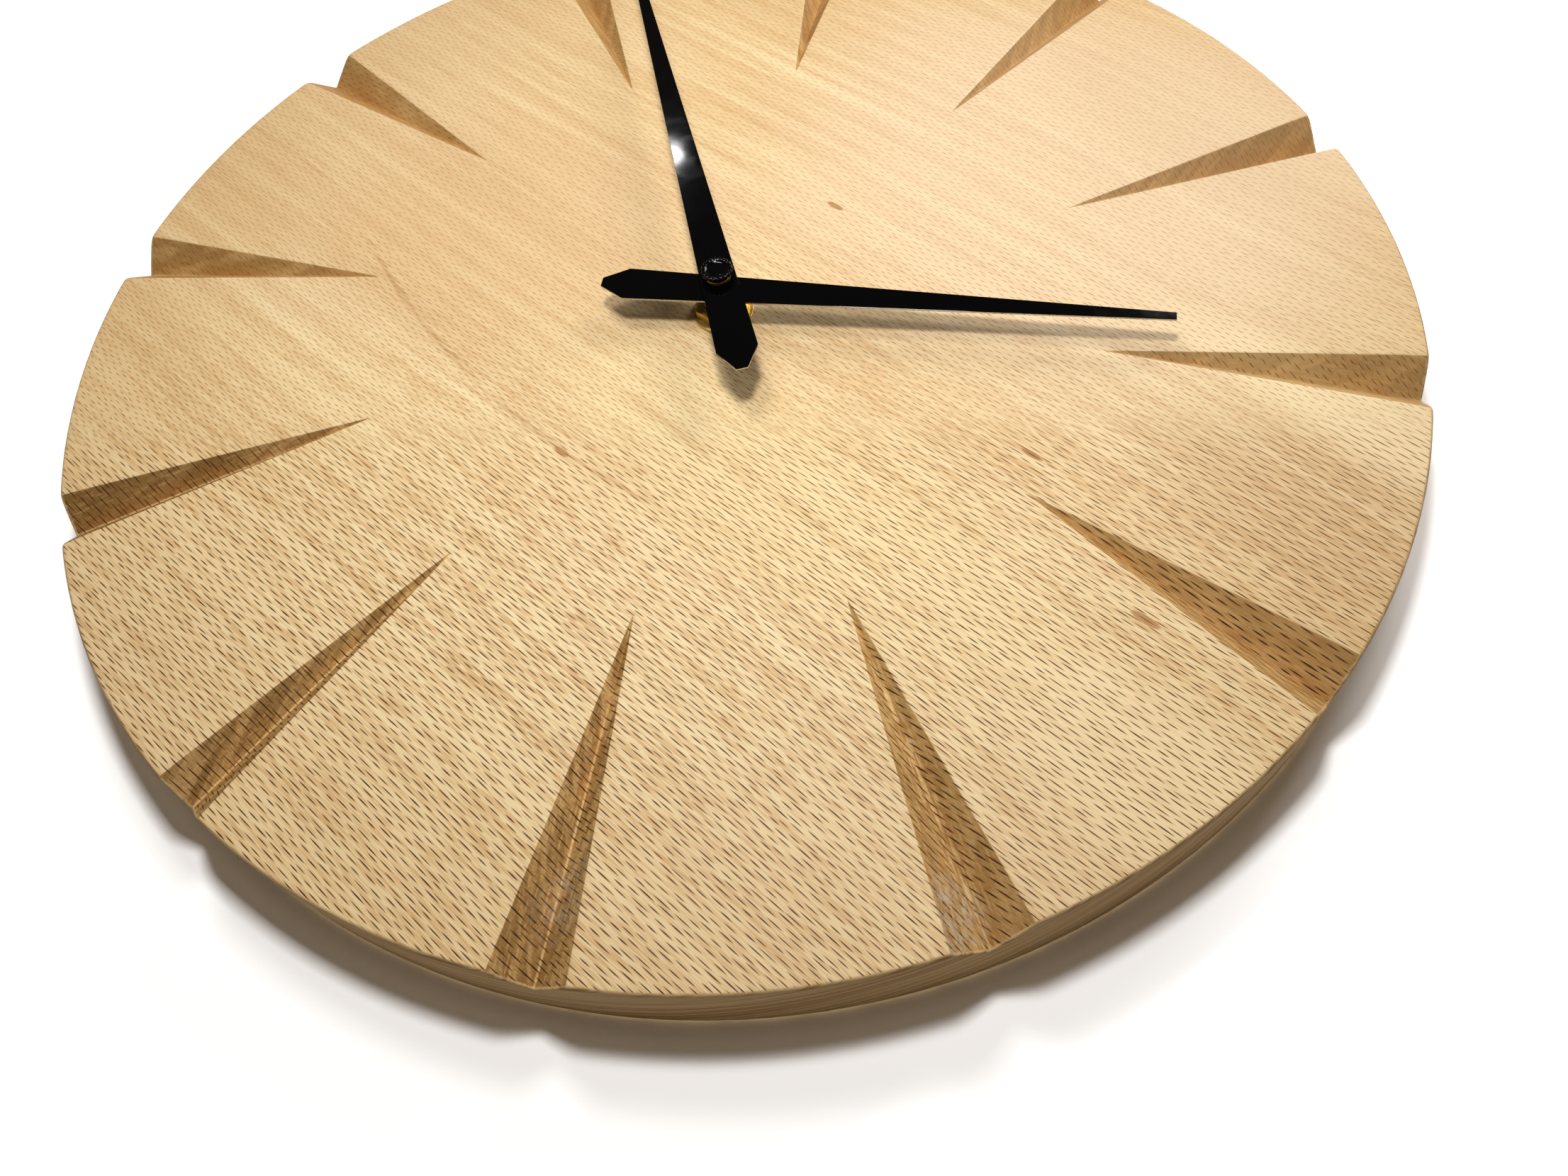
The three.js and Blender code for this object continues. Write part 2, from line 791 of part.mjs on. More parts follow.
function fifthWheel() {
  return trainWheel(
    wheel(fifthWheelTeeth, rotorModule, fifthWheelPhase, fifthWheelFront, fifthWheelPlace),
    pinion(fifthPinionTeeth, secondModule, fifthPinionPhase, secondWheelFront, fifthWheelPlace),
    fifthWheelPlace,
  );
}

function thirdWheel() {
  return trainWheel(
    wheel(thirdWheelTeeth, thirdModule, thirdWheelPhase, thirdWheelFront, thirdWheelPlace),
    pinion(thirdPinionTeeth, centreModule, thirdPinionPhase, centreWheelFront, thirdWheelPlace),
    thirdWheelPlace,
  );
}

// The second wheel's front pivot turns in the hollow end of the minute shaft
function secondWheel() {
  const middle = new THREE.Vector2();
  const socketFloor = centreWheelFront - wheelThickness + pivotDepth;
  return joined(
    wheel(secondWheelTeeth, secondModule, secondWheelPhase, secondWheelFront, middle),
    pinion(secondPinionTeeth, thirdModule, secondPinionPhase, thirdWheelFront, middle),
    rod(arborDiameter / 2, pivotBack, socketFloor - seatGap, middle, smallSides),
  );
}

// The centre wheel grips the minute shaft by friction, so the hands can be set past it
function centreWheel() {
  const middle = new THREE.Vector2();
  const toothedWheel = wheel(centreWheelTeeth, centreModule, centreWheelPhase, centreWheelFront, middle);
  const bore = rod(minuteShaftDiameter / 2 + runningGap, coverFront, bridgeFront);
  return cut(toothedWheel, bore);
}

function rotorPinion() {
  return trainWheel(
    pinion(rotorTeeth, rotorModule, rotorPhase, fifthWheelFront, rotorPlace),
    rod(arborDiameter / 2, fifthWheelFront, bridgeFront, rotorPlace, smallSides),
    rotorPlace,
  );
}

function magnetBack() {
  return fifthWheelFront + magnetAboveWheel;
}

function rotorMagnet() {
  const bore = arborDiameter / 2 + fitGap;
  return ring(bore, magnetDiameter / 2, magnetBack(), magnetBack() + magnetHeight, sides, rotorPlace);
}

function settingKnob() {
  const knobBack = knobFront - knobThickness;
  const outline = ridgedOutline(knobDiameter / 2, knobRidges, knobRidgeDepth, knobPlace);
  return joined(
    prism(outline, knobBack, knobFront),
    rod(knobArborDiameter / 2, knobFront - knobThickness / 2, minuteWheelFront, knobPlace, smallSides),
    pinion(knobPinionTeeth, motionModule, knobPhase, minuteWheelFront, knobPlace),
    rod(arborDiameter / 2, minuteWheelFront, chamberFront + pivotDepth - seatGap, knobPlace, smallSides),
  );
}

// The stepping motor: a U of soft iron round the rotor, closed by the coil's core
function statorBack() {
  return magnetBack() + (magnetHeight - statorThickness) / 2;
}

function coilHeight() {
  return rotorPlace.y + coilAboveRotor;
}

function legPlaces() {
  const reach = coilFlangeThickness + statorLegWidth / 2;
  return [coilLeft - reach, coilRight + reach].map((x) => new THREE.Vector2(x, coilHeight()));
}

function stator() {
  const back = statorBack();
  const front = back + statorThickness;
  const barMiddle = rotorPlace.y + statorBarAbove;
  const barBottom = barMiddle - statorBarWidth / 2;
  const [left, right] = legPlaces();
  const bar = box(left.x, right.x, barBottom, barMiddle + statorBarWidth / 2, back, front);
  const legs = [left, right].map((leg) =>
    box(
      leg.x - statorLegWidth / 2,
      leg.x + statorLegWidth / 2,
      barBottom,
      leg.y + coreWidth / 2 + statorOverhang,
      back,
      front,
    ),
  );
  const hub = rod(statorHubDiameter / 2, back, front, rotorPlace);
  const airHole = rod(magnetDiameter / 2 + airGap, back - overrun, front + overrun, rotorPlace);
  return cut(joined(bar, ...legs, hub), airHole);
}

function coreBack() {
  return statorBack() + statorThickness + seatGap;
}

function coilCore() {
  const [left, right] = legPlaces();
  const reach = statorLegWidth / 2;
  const half = coreWidth / 2;
  return box(
    left.x - reach,
    right.x + reach,
    coilHeight() - half,
    coilHeight() + half,
    coreBack(),
    coreBack() + coreThickness,
  );
}

function coilDepth() {
  return coreBack() + coreThickness / 2;
}

function coilBobbin() {
  const bore = bobbinBore / 2;
  const profile = [
    [bore, coilLeft],
    [coilFlangeDiameter / 2, coilLeft],
    [coilFlangeDiameter / 2, coilLeft + coilFlangeThickness],
    [bobbinDiameter / 2, coilLeft + coilFlangeThickness],
    [bobbinDiameter / 2, coilRight - coilFlangeThickness],
    [coilFlangeDiameter / 2, coilRight - coilFlangeThickness],
    [coilFlangeDiameter / 2, coilRight],
    [bore, coilRight],
    [bore, coilLeft],
  ];
  return revolveAlongX(profile, coilHeight(), coilDepth());
}

function coilWinding() {
  const bore = bobbinDiameter / 2 + fitGap;
  const left = coilLeft + coilFlangeThickness + seatGap;
  const right = coilRight - coilFlangeThickness - seatGap;
  const radius = windingDiameter / 2;
  const profile = [[bore, left], [radius, left], [radius, right], [bore, right], [bore, left]];
  return revolveAlongX(profile, coilHeight(), coilDepth());
}

// The circuit board lies on the inside of the cover
function circuitBack() {
  return coverFront + seatGap;
}

function circuitBoard() {
  const back = circuitBack();
  return box(
    circuitLeft,
    circuitLeft + circuitWidth,
    circuitBottom,
    circuitBottom + circuitHeight,
    back,
    back + circuitThickness,
  );
}

function quartzCrystal() {
  const radius = crystalDiameter / 2;
  const start = circuitLeft + crystalFromEdge;
  const profile = [
    [0, start],
    [radius, start],
    [radius, start + crystalLength - radius / 2],
    [radius / 2, start + crystalLength],
    [0, start + crystalLength],
  ];
  const depth = circuitBack() + circuitThickness + seatGap + radius;
  return revolveAlongX(profile, circuitBottom + crystalFromEdge, depth, smallSides);
}

// The chip's blob of black resin
function controlChip() {
  const back = circuitBack() + circuitThickness + seatGap;
  const place = new THREE.Vector2(circuitLeft + circuitWidth / 2, circuitBottom + circuitHeight / 2);
  const profile = [
    [0, back],
    [chipDiameter / 2, back],
    [(chipDiameter / 2) * chipShoulderShares[0], back + chipHeight * chipShoulderShares[1]],
    [0, back + chipHeight],
  ];
  return revolve(profile, smallSides, place);
}

// The case is one moulding, open at the back, with a wall between the cell and the wheels
function movementCase() {
  const half = caseSide / 2;
  const mouth = caseOffWall - overrun;
  const outline = roundedRectangle(-half, half, -half, half, caseCorner);
  const shell = prism(outline, caseOffWall, caseFront, cornerSteps);
  const cellBayTop = -caseInside + cellBayHeight;
  const cellBay = box(-caseInside, caseInside, -caseInside, cellBayTop, mouth, chamberFront);
  const chamber = box(-caseInside, caseInside, chamberBottom, caseInside, mouth, chamberFront);
  const bushHole = rod(bushDiameter / 2 + fitGap, chamberFront - overrun, caseFront + overrun);
  const socketPlaces = [minuteWheelPlace, knobPlace];
  const sockets = pivotHoles(socketPlaces, chamberFront - overrun, chamberFront + pivotDepth);
  const hollowed = cut(shell, cellBay, chamber, fingerNotch());
  return cut(joined(hollowed, ...cornerPosts(), ...bridgeLedges(), ...motorPosts()), bushHole, ...sockets);
}

// An outline of width and depth carried down through the wall below the cell
function fingerNotch() {
  const outline = roundedRectangle(
    -fingerNotchWidth / 2,
    fingerNotchWidth / 2,
    caseOffWall - fingerNotchDepth,
    caseOffWall + fingerNotchDepth,
    fingerNotchDepth / 2,
  );
  const geometry = new THREE.ExtrudeGeometry(outline, {
    depth: 2 * overrun,
    bevelEnabled: false,
    curveSegments: cornerSteps,
  });
  geometry.rotateX(Math.PI / 2);
  geometry.translate(0, -caseSide / 2 + overrun, 0);
  return solid(geometry);
}

// What stands on the inside of the case's front wall starts halfway into it
function insideFront() {
  return chamberFront + caseFrontWall / 2;
}

function cornerPosts() {
  const intoWall = caseWall / 2;
  const inner = caseInside - postSide;
  const outer = caseInside + intoWall;
  const lower = chamberBottom - intoWall;
  const upper = chamberBottom + postSide;
  const back = coverFront + seatGap;
  const front = insideFront();
  return [
    box(-outer, -inner, lower, upper, back, front),
    box(inner, outer, lower, upper, back, front),
    box(-outer, -inner, inner, outer, back, front),
    box(inner, outer, inner, outer, back, front),
  ];
}

function bridgeLedges() {
  const inner = caseInside - ledgeWidth;
  const outer = caseInside + caseWall / 2;
  const middle = (bridgeBottom() + bridgeTop()) / 2;
  const lower = middle - ledgeLength / 2;
  const upper = middle + ledgeLength / 2;
  const back = bridgeFront + seatGap;
  return [
    box(-outer, -inner, lower, upper, back, insideFront()),
    box(inner, outer, lower, upper, back, insideFront()),
  ];
}

function motorPosts() {
  const back = coreBack() + coreThickness + seatGap;
  return legPlaces().map((place) => rod(motorPostDiameter / 2, back, insideFront(), place, smallSides));
}

function bridgeBottom() {
  return chamberBottom + postSide + coverPlay;
}

function bridgeTop() {
  return coilHeight() - coilFlangeDiameter / 2 - bridgeOffCoil;
}

// The bridge carries the front pivots of the train
function trainBridge() {
  const back = bridgeFront - bridgeThickness;
  const reach = caseInside - coverPlay;
  const plate = box(-reach, reach, bridgeBottom(), bridgeTop(), back, bridgeFront);
  const cutBack = back - overrun;
  const cutFront = bridgeFront + overrun;
  const pivotPlaces = [thirdWheelPlace, fifthWheelPlace, rotorPlace, minuteWheelPlace];
  const shaftHole = rod(minuteShaftDiameter / 2 + runningGap, cutBack, cutFront);
  const knobHole = rod(knobArborDiameter / 2 + runningGap, cutBack, cutFront, knobPlace, smallSides);
  return cut(plate, ...pivotHoles(pivotPlaces, cutBack, cutFront), shaftHole, knobHole);
}

// The cover closes the wheels' chamber from behind, and only the knob's shaft goes through it
function movementCover() {
  const inside = caseInside - coverPlay;
  const plate = box(-inside, inside, chamberBottom + coverPlay, inside, coverBack, coverFront);
  const cutFront = coverFront + overrun;
  const pivotPlaces = [new THREE.Vector2(), thirdWheelPlace, fifthWheelPlace, rotorPlace];
  const pivots = pivotHoles(pivotPlaces, coverFront - pivotDepth, cutFront);
  const knobShaftRadius = knobArborDiameter / 2 + runningGap;
  const knobHole = rod(knobShaftRadius, coverBack - overrun, cutFront, knobPlace, smallSides);
  const bore = knobDiameter / 2 + knobCollarPlay;
  const collarBack = coverBack - knobCollarHeight;
  const collar = ring(bore, bore + knobCollarWidth, collarBack, coverBack + seatGap, sides, knobPlace);
  return cut(joined(plate, collar), ...pivots, knobHole);
}

// One AA cell, lying across the bottom of the case with its positive end at 3 o'clock
function cellDepth() {
  return chamberFront - seatGap - cellDiameter / 2;
}

function cellRight() {
  return caseInside - contactThickness - 2 * seatGap;
}

function batteryCell() {
  const radius = cellDiameter / 2;
  const nubRight = cellRight();
  const right = nubRight - cellNubLength;
  const left = nubRight - cellLength;
  const profile = [
    [0, left],
    [radius - cellRimEasing, left],
    [radius, left + cellRimEasing],
    [radius, right - cellRimEasing],
    [radius - cellRimEasing, right],
    [cellNubDiameter / 2, right],
    [cellNubDiameter / 2, nubRight],
    [0, nubRight],
  ];
  return revolveAlongX(profile, cellCentre, cellDepth());
}

function positiveContact() {
  const left = caseInside - seatGap - contactThickness;
  return box(
    left,
    left + contactThickness,
    cellCentre - contactWidth / 2,
    cellCentre + contactWidth / 2,
    cellDepth() - contactHeight / 2,
    cellDepth() + contactHeight / 2,
  );
}

// A folded leaf that presses on the cell's flat end
function negativeContact() {
  const wallSide = -caseInside + seatGap;
  const cellSide = cellRight() - cellLength - seatGap;
  const bend = contactSpringTravel / 2;
  const half = contactHeight / 2;
  const outline = polygon([
    [wallSide, -half],
    [wallSide + contactThickness, -half],
    [wallSide + contactThickness, half - bend],
    [cellSide - contactThickness, bend],
    [cellSide - contactThickness, -bend],
    [cellSide, -bend],
    [cellSide, bend + contactThickness],
    [wallSide + contactThickness, half],
    [wallSide, half],
  ]);
  const geometry = new THREE.ExtrudeGeometry(outline, { depth: contactWidth, bevelEnabled: false });
  geometry.translate(0, 0, -contactWidth / 2);
  geometry.rotateX(-Math.PI / 2);
  geometry.translate(0, cellCentre, cellDepth());
  return solid(geometry);
}

function finish(color, roughness, metalness) {
  return { color, roughness, metalness };
}

const beech = finish(0xd8b07a, 0.55, 0);
const blackLacquer = finish(0x0a0a0b, 0.22, 0.1);
const brass = finish(0xc9a24a, 0.28, 1);
const zincSteel = finish(0xb4b6b8, 0.35, 1);
const rubber = finish(0x1b1b1c, 0.85, 0);
const blackPlastic = finish(0x17181a, 0.5, 0);
const whitePlastic = finish(0xe8e6df, 0.45, 0);
const softIron = finish(0x8b8d90, 0.5, 1);
const magnetBlack = finish(0x2b2b2e, 0.6, 0.4);
const copper = finish(0xb8652f, 0.35, 1);
const circuitGreen = finish(0x1f6b3a, 0.4, 0);
const cellGrey = finish(0x5b6066, 0.35, 0.3);

function piece(name, shape, look) {
  const mesh = shape.getMesh();
  const geometry = new THREE.BufferGeometry();
  geometry.setAttribute("position", new THREE.Float32BufferAttribute(mesh.vertProperties, mesh.numProp));
  geometry.setIndex(new THREE.Uint32BufferAttribute(mesh.triVerts, 1));
  geometry.computeVertexNormals();
  const result = new THREE.Mesh(geometry, new THREE.MeshStandardMaterial({ ...look, flatShading: true }));
  result.name = name;
  return result;
}

const [leftScrew, rightScrew] = screwPlaces();

const clock = new THREE.Group();
clock.add(
  piece("dial_board", dialBoard(), beech),
  piece("sawtooth_hanger", sawtoothHanger(), zincSteel),
  piece("hanger_screw_left", hangerScrew(leftScrew), zincSteel),
  piece("hanger_screw_right", hangerScrew(rightScrew), zincSteel),
  piece("movement_case", movementCase(), blackPlastic),
  piece("movement_cover", movementCover(), blackPlastic),
  piece("train_bridge", trainBridge(), whitePlastic),
  piece("threaded_bush", threadedBush(), brass),
  piece("rubber_washer", rubberWasher(), rubber),
  piece("brass_washer", brassWasher(), brass),
  piece("fixing_nut", fixingNut(), brass),
  piece("battery_cell", batteryCell(), cellGrey),
  piece("positive_contact", positiveContact(), zincSteel),
  piece("negative_contact", negativeContact(), zincSteel),
  piece("circuit_board", circuitBoard(), circuitGreen),
  piece("quartz_crystal", quartzCrystal(), zincSteel),
  piece("control_chip", controlChip(), blackPlastic),
  piece("stator", stator(), softIron),
  piece("coil_core", coilCore(), softIron),
  piece("coil_bobbin", coilBobbin(), whitePlastic),
  piece("coil_winding", coilWinding(), copper),
  piece("rotor_magnet", rotorMagnet(), magnetBlack),
  piece("rotor_pinion", rotorPinion(), whitePlastic),
  piece("fifth_wheel", fifthWheel(), whitePlastic),
  piece("second_wheel", secondWheel(), whitePlastic),
  piece("third_wheel", thirdWheel(), whitePlastic),
  piece("centre_wheel", centreWheel(), whitePlastic),
  piece("minute_arbor", minuteArbor(), brass),
  piece("minute_wheel", minuteWheel(), whitePlastic),
  piece("hour_wheel", hourWheel(), brass),
  piece("setting_knob", settingKnob(), blackPlastic),
  piece("hour_hand", hourHand(), blackLacquer),
  piece("hour_hand_collet", hourHandCollet(), brass),
  piece("minute_hand", minuteHand(), blackLacquer),
  piece("minute_hand_collet", minuteHandCollet(), brass),
  piece("cap_nut", capNut(), blackLacquer),
);
clock.rotation.x = Math.PI / 2;

const wallClock = new THREE.Group();
wallClock.add(clock);

export default wallClock;
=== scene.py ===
import bmesh
import bpy
import numpy as np
from mathutils import Matrix, Vector


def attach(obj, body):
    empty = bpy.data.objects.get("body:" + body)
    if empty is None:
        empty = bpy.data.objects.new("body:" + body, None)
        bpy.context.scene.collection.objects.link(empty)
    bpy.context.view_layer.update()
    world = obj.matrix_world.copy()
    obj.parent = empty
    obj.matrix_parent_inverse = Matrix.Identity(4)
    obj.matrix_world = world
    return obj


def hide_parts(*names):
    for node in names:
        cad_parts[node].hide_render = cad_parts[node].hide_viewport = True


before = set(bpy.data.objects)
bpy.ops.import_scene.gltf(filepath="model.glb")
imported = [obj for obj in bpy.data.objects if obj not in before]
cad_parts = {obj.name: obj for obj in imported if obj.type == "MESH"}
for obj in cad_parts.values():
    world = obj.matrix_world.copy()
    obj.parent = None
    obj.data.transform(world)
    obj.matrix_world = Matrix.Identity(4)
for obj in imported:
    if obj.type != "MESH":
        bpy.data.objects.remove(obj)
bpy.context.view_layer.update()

# The board: one solid disc of steamed beech, turned and sanded. Twelve V grooves are routed from the rim
# inwards, deeper towards the rim. The back has a pocket for the movement and a seat for the hanger. Sizes
# are in millimetres.
board_radius = 150
board_thickness = 20
groove_start = 84  # from the axis
groove_depth_at_rim = 6.4
# The cutter was guided by hand, so the grooves differ a little. Per groove, clockwise from 12: how far its
# mouth and its point lie clockwise of the hour, its half widths before and after its middle, and its start.
groove_cuts = np.array([
    (0.3, 0.3, 6.2, 7.2, 82.5), (1.5, 0.8, 6.8, 6.2, 83), (1.2, 1.2, 7.1, 7.1, 83),
    (-0.1, -0.7, 8.5, 7.0, 81.5), (0, 0, 7.8, 7.5, 79.5), (0, 0, 7.2, 7.2, 78),
    (-0.3, 0, 6.9, 6.1, 80.5), (-1.2, 0.7, 6.9, 7.0, 80.5), (0, 0.9, 7.2, 7.4, 84),
    (0, 1.3, 7.2, 7.3, 83), (0.5, 0.8, 6.8, 7.2, 83), (0, 0, 7.0, 7.0, 83)])
front_easing = 0.8
mouth_easing = 0.4  # of the rim's edge where it dips into a groove
back_easing = 1
bush_hole = 4.1
pocket_floor = 16.8  # above the wall
pocket_half = 30  # of its width
pocket_corner = 6
hanger_height = 100  # above the axis


def smooth(low, high, value):
    """A smooth step: t t (3 - 2 t) with t = (value - low) / (high - low), held between 0 and 1."""
    t = np.clip((value - low) / (high - low), 0, 1)
    return t * t * (3 - 2 * t)


def turn(grid_radius, grid_angle, grid_height):
    """Points (radius sin angle, radius cos angle, height), angles running clockwise from 12."""
    return np.stack(np.broadcast_arrays(
        grid_radius * np.sin(grid_angle), grid_radius * np.cos(grid_angle), grid_height), axis=-1)


def solid(name, grid, crease=35, cutters=(), marks=None):
    """Makes a mesh of a grid of points (rows x columns x 3, in millimetres: to 3 o'clock, to 12, out
    from the wall). Cell (i, j) is the quad of points (i, j), (i, j+1), (i+1, j+1), (i+1, j). Points
    that meet are merged, which closes seams and poles, and faces are turned outwards. marks gives the
    points' attributes by name."""
    rows, columns = grid.shape[:2]
    corner = np.arange(rows - 1)[:, None] * columns + np.arange(columns - 1)
    faces = np.stack([corner, corner + 1, corner + 1 + columns, corner + columns], -1).reshape(-1, 4)
    local = grid.reshape(-1, 3) * 0.001
    mesh = bpy.data.meshes.new(name)
    mesh.from_pydata(np.stack([local[:, 0], -local[:, 2], local[:, 1]], -1), [], faces)
    for mark, values in (marks or {}).items():
        layer = mesh.attributes.new(mark, "FLOAT", "POINT")
        layer.data.foreach_set("value", values.ravel().astype(np.float32))
    work = bmesh.new()
    work.from_mesh(mesh)
    bmesh.ops.remove_doubles(work, verts=work.verts, dist=1e-6)
    bmesh.ops.dissolve_degenerate(work, edges=work.edges, dist=1e-7)
    bmesh.ops.recalc_face_normals(work, faces=work.faces)
    work.to_mesh(mesh)
    work.free()
    made = bpy.data.objects.new(name, mesh)
    bpy.context.scene.collection.objects.link(made)
    for cutter in cutters:
        cut = made.modifiers.new("cut", "BOOLEAN")
        cut.operation, cut.solver, cut.object = "DIFFERENCE", "MANIFOLD", cutter
    if cutters:
        shaped = made.evaluated_get(bpy.context.evaluated_depsgraph_get())
        shaped = bpy.data.meshes.new_from_object(shaped)
        made.modifiers.clear()
        made.data = shaped
        for cutter in cutters:
            bpy.data.objects.remove(cutter)
    made.data.shade_smooth()
    made.data.set_sharp_from_angle(angle=np.radians(crease))
    return made


def fit(made, finish, body, node):
    """Gives a piece its material, the body it moves with and the solid it stands for."""
    made.data.materials.clear()
    made.data.materials.append(finish)
    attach(made, body)
    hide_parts(node)


class Wire:
    """One output of a material's nodes. Sums, products and the like of wires add their Math nodes."""

    def __init__(self, finish, socket):
        self.finish = finish
        self.socket = socket

    def __add__(self, other):
        return self.finish.math("ADD", self, other)

    def __sub__(self, other):
        return self.finish.math("SUBTRACT", self, other)

    def __mul__(self, other):
        return self.finish.math("MULTIPLY", self, other)

    def __truediv__(self, other):
        return self.finish.math("DIVIDE", self, other)

    def __pow__(self, other):
        return self.finish.math("POWER", self, other)

    def __rsub__(self, other):
        return self.finish.math("SUBTRACT", other, self)

    def __rtruediv__(self, other):
        return self.finish.math("DIVIDE", other, self)

    def __abs__(self):
        return self.finish.math("ABSOLUTE", self)

    __radd__ = __add__
    __rmul__ = __mul__

    def held(self):
        """The value held between 0 and 1."""
        return self.finish.math("ADD", self, 0.0, clamp=True)

    def least(self, other):
        return self.finish.math("MINIMUM", self, other)

    def most(self, other):
        return self.finish.math("MAXIMUM", self, other)

    def step(self, low, high):
        """A smooth step from 0 at low to 1 at high; high may be the lower of the two."""
        rise = {"From Min": low, "From Max": high, "To Min": 0.0, "To Max": 1.0}
        if high < low:
            rise = {"From Min": high, "From Max": low, "To Min": 1.0, "To Max": 0.0}
        return self.finish.node("MapRange", {"interpolation_type": "SMOOTHSTEP"}, {"Value": self, **rise})


def rgb(red, green, blue):
    """A colour written as on a screen, 0 to 255, turned to the linear one that a shader takes."""
    share = np.array([red, green, blue]) / 255
    linear = np.where(share < 0.04045, share / 12.92, ((share + 0.055) / 1.055) ** 2.4)
    return tuple(float(part) for part in linear)


class Finish:
    """A material: one Principled shader with the nodes that feed it."""

    def __init__(self, name, fixed):
        self.material = bpy.data.materials.new(name)
        self.material.use_nodes = True
        self.tree = self.material.node_tree
        self.tree.nodes.clear()
        self.shader = self.tree.nodes.new("ShaderNodeBsdfPrincipled")
        self.end = self.tree.nodes.new("ShaderNodeOutputMaterial")
        self.tree.links.new(self.shader.outputs[0], self.end.inputs[0])
        self.feed(fixed)

    def feed(self, inputs):
        """Sets sockets of the shader, or joins wires to them."""
        for name, value in inputs.items():
            self.put(self.shader.inputs[name], value)

    def put(self, socket, value):
        """Joins a wire to a socket, or sets the socket's own value."""
        if isinstance(value, Wire):
            self.tree.links.new(value.socket, socket)
        elif socket.type == "RGBA":
            socket.default_value = (*value, 1)
        else:
            socket.default_value = value

    def node(self, kind, settings, inputs, output=0):
        """Adds one node: its settings, then the values or wires of its sockets. Gives back one output."""
        node = self.tree.nodes.new("ShaderNode" + kind)
        for name, value in settings.items():
            setattr(node, name, value)
        for name, value in inputs.items():
            self.put(node.inputs[name], value)
        return Wire(self, node.outputs[output])

    def math(self, operation, first, second=0.0, clamp=False):
        return self.node("Math", {"operation": operation, "use_clamp": clamp}, {0: first, 1: second})

    def place(self):
        """Object coordinates in millimetres: x to 3 o'clock, y into the wall, z to 12."""
        place = self.node("TexCoord", {}, {}, "Object")
        scaled = self.node("VectorMath", {"operation": "SCALE"}, {0: place, "Scale": 1000})
        return [self.node("SeparateXYZ", {}, {0: scaled}, axis) for axis in "XYZ"]

    def mark(self, name):
        """The value that the mesh's points carry under a name."""
        return self.node("Attribute", {"attribute_name": name}, {}, "Fac")

    def noise(self, x, y, z, detail=2.0, rough=0.5):
        """Cloudy noise from 0 to 1, one unit of x, y and z being about one blot."""
        place = self.node("CombineXYZ", {}, {0: x, 1: y, 2: z})
        blots = {"Vector": place, "Scale": 1.0, "Detail": detail, "Roughness": rough}
        return self.node("TexNoise", {}, blots)

    def mix(self, share, under, over):
        """The colour over, laid on the colour under by a share."""
        return self.node("Mix", {"data_type": "RGBA"}, {0: share, 6: under, 7: over}, 2)

    def lay(self, colour, *layers):
        """Lays colours on a first one in turn, each written as (share, red, green, blue)."""
        for share, *tone in layers:
            colour = self.mix(share, colour, rgb(*tone))
        return colour

    def relief(self, height):
        """Bump of a height in millimetres, joined to the shader."""
        self.feed({"Normal": self.node("Bump", {}, {"Height": height, "Distance": 0.001, "Strength": 1.0})})


def flecks(finish, x, z, length, spacing, size):
    """Ray flecks in rows along the grain, spacing apart, one to each length of a row. A fleck is a lens
    of half width w (1 - (dx / l)^2) about a place near the middle of its cell, l being a share of the
    cell and size scaling both. Rows are shifted by half a cell and a chance share of it. Gives two
    covers from 0 to 1, that of the flecks and that of a fringe around them."""
    row = finish.math("FLOOR", z / spacing)
    start = finish.node("TexWhiteNoise", {"noise_dimensions": "1D"}, {"W": row})
    along = x / length + row * 0.5 + start * 0.16
    cell = finish.math("FLOOR", along)
    place = finish.node("CombineXYZ", {}, {0: cell, 1: row, 2: 0.0})
    chance = finish.node("TexWhiteNoise", {"noise_dimensions": "2D"}, {"Vector": place}, "Color")
    low, mid, high = [finish.node("SeparateXYZ", {}, {0: chance}, axis) for axis in "XYZ"]
    off_x = along - cell - 0.5 - (low - 0.5) * 0.22
    off_z = abs(z / spacing - row - 0.5 - (mid - 0.5) * 0.42) * spacing
    reach = off_x / (size * (high * 0.18 + 0.24))
    inside = size * (mid * 0.03 + 0.09) * (1 - reach * reach) - off_z
    cover = (inside / 0.04 + 0.5).held() * (low * 0.2 + 0.8)
    return cover, (inside / (size * 0.08) + 1).held()


def spot(x, z, middle_x, middle_z, long, wide):
    """A soft lens along the grain: 1 at its middle, 0 from (dx / long)^2 + (dz / wide)^2 = 1 outwards."""
    off_x, off_z = (x - middle_x) / long, (z - middle_z) / wide
    return (off_x * off_x + off_z * off_z).step(1, 0.1)


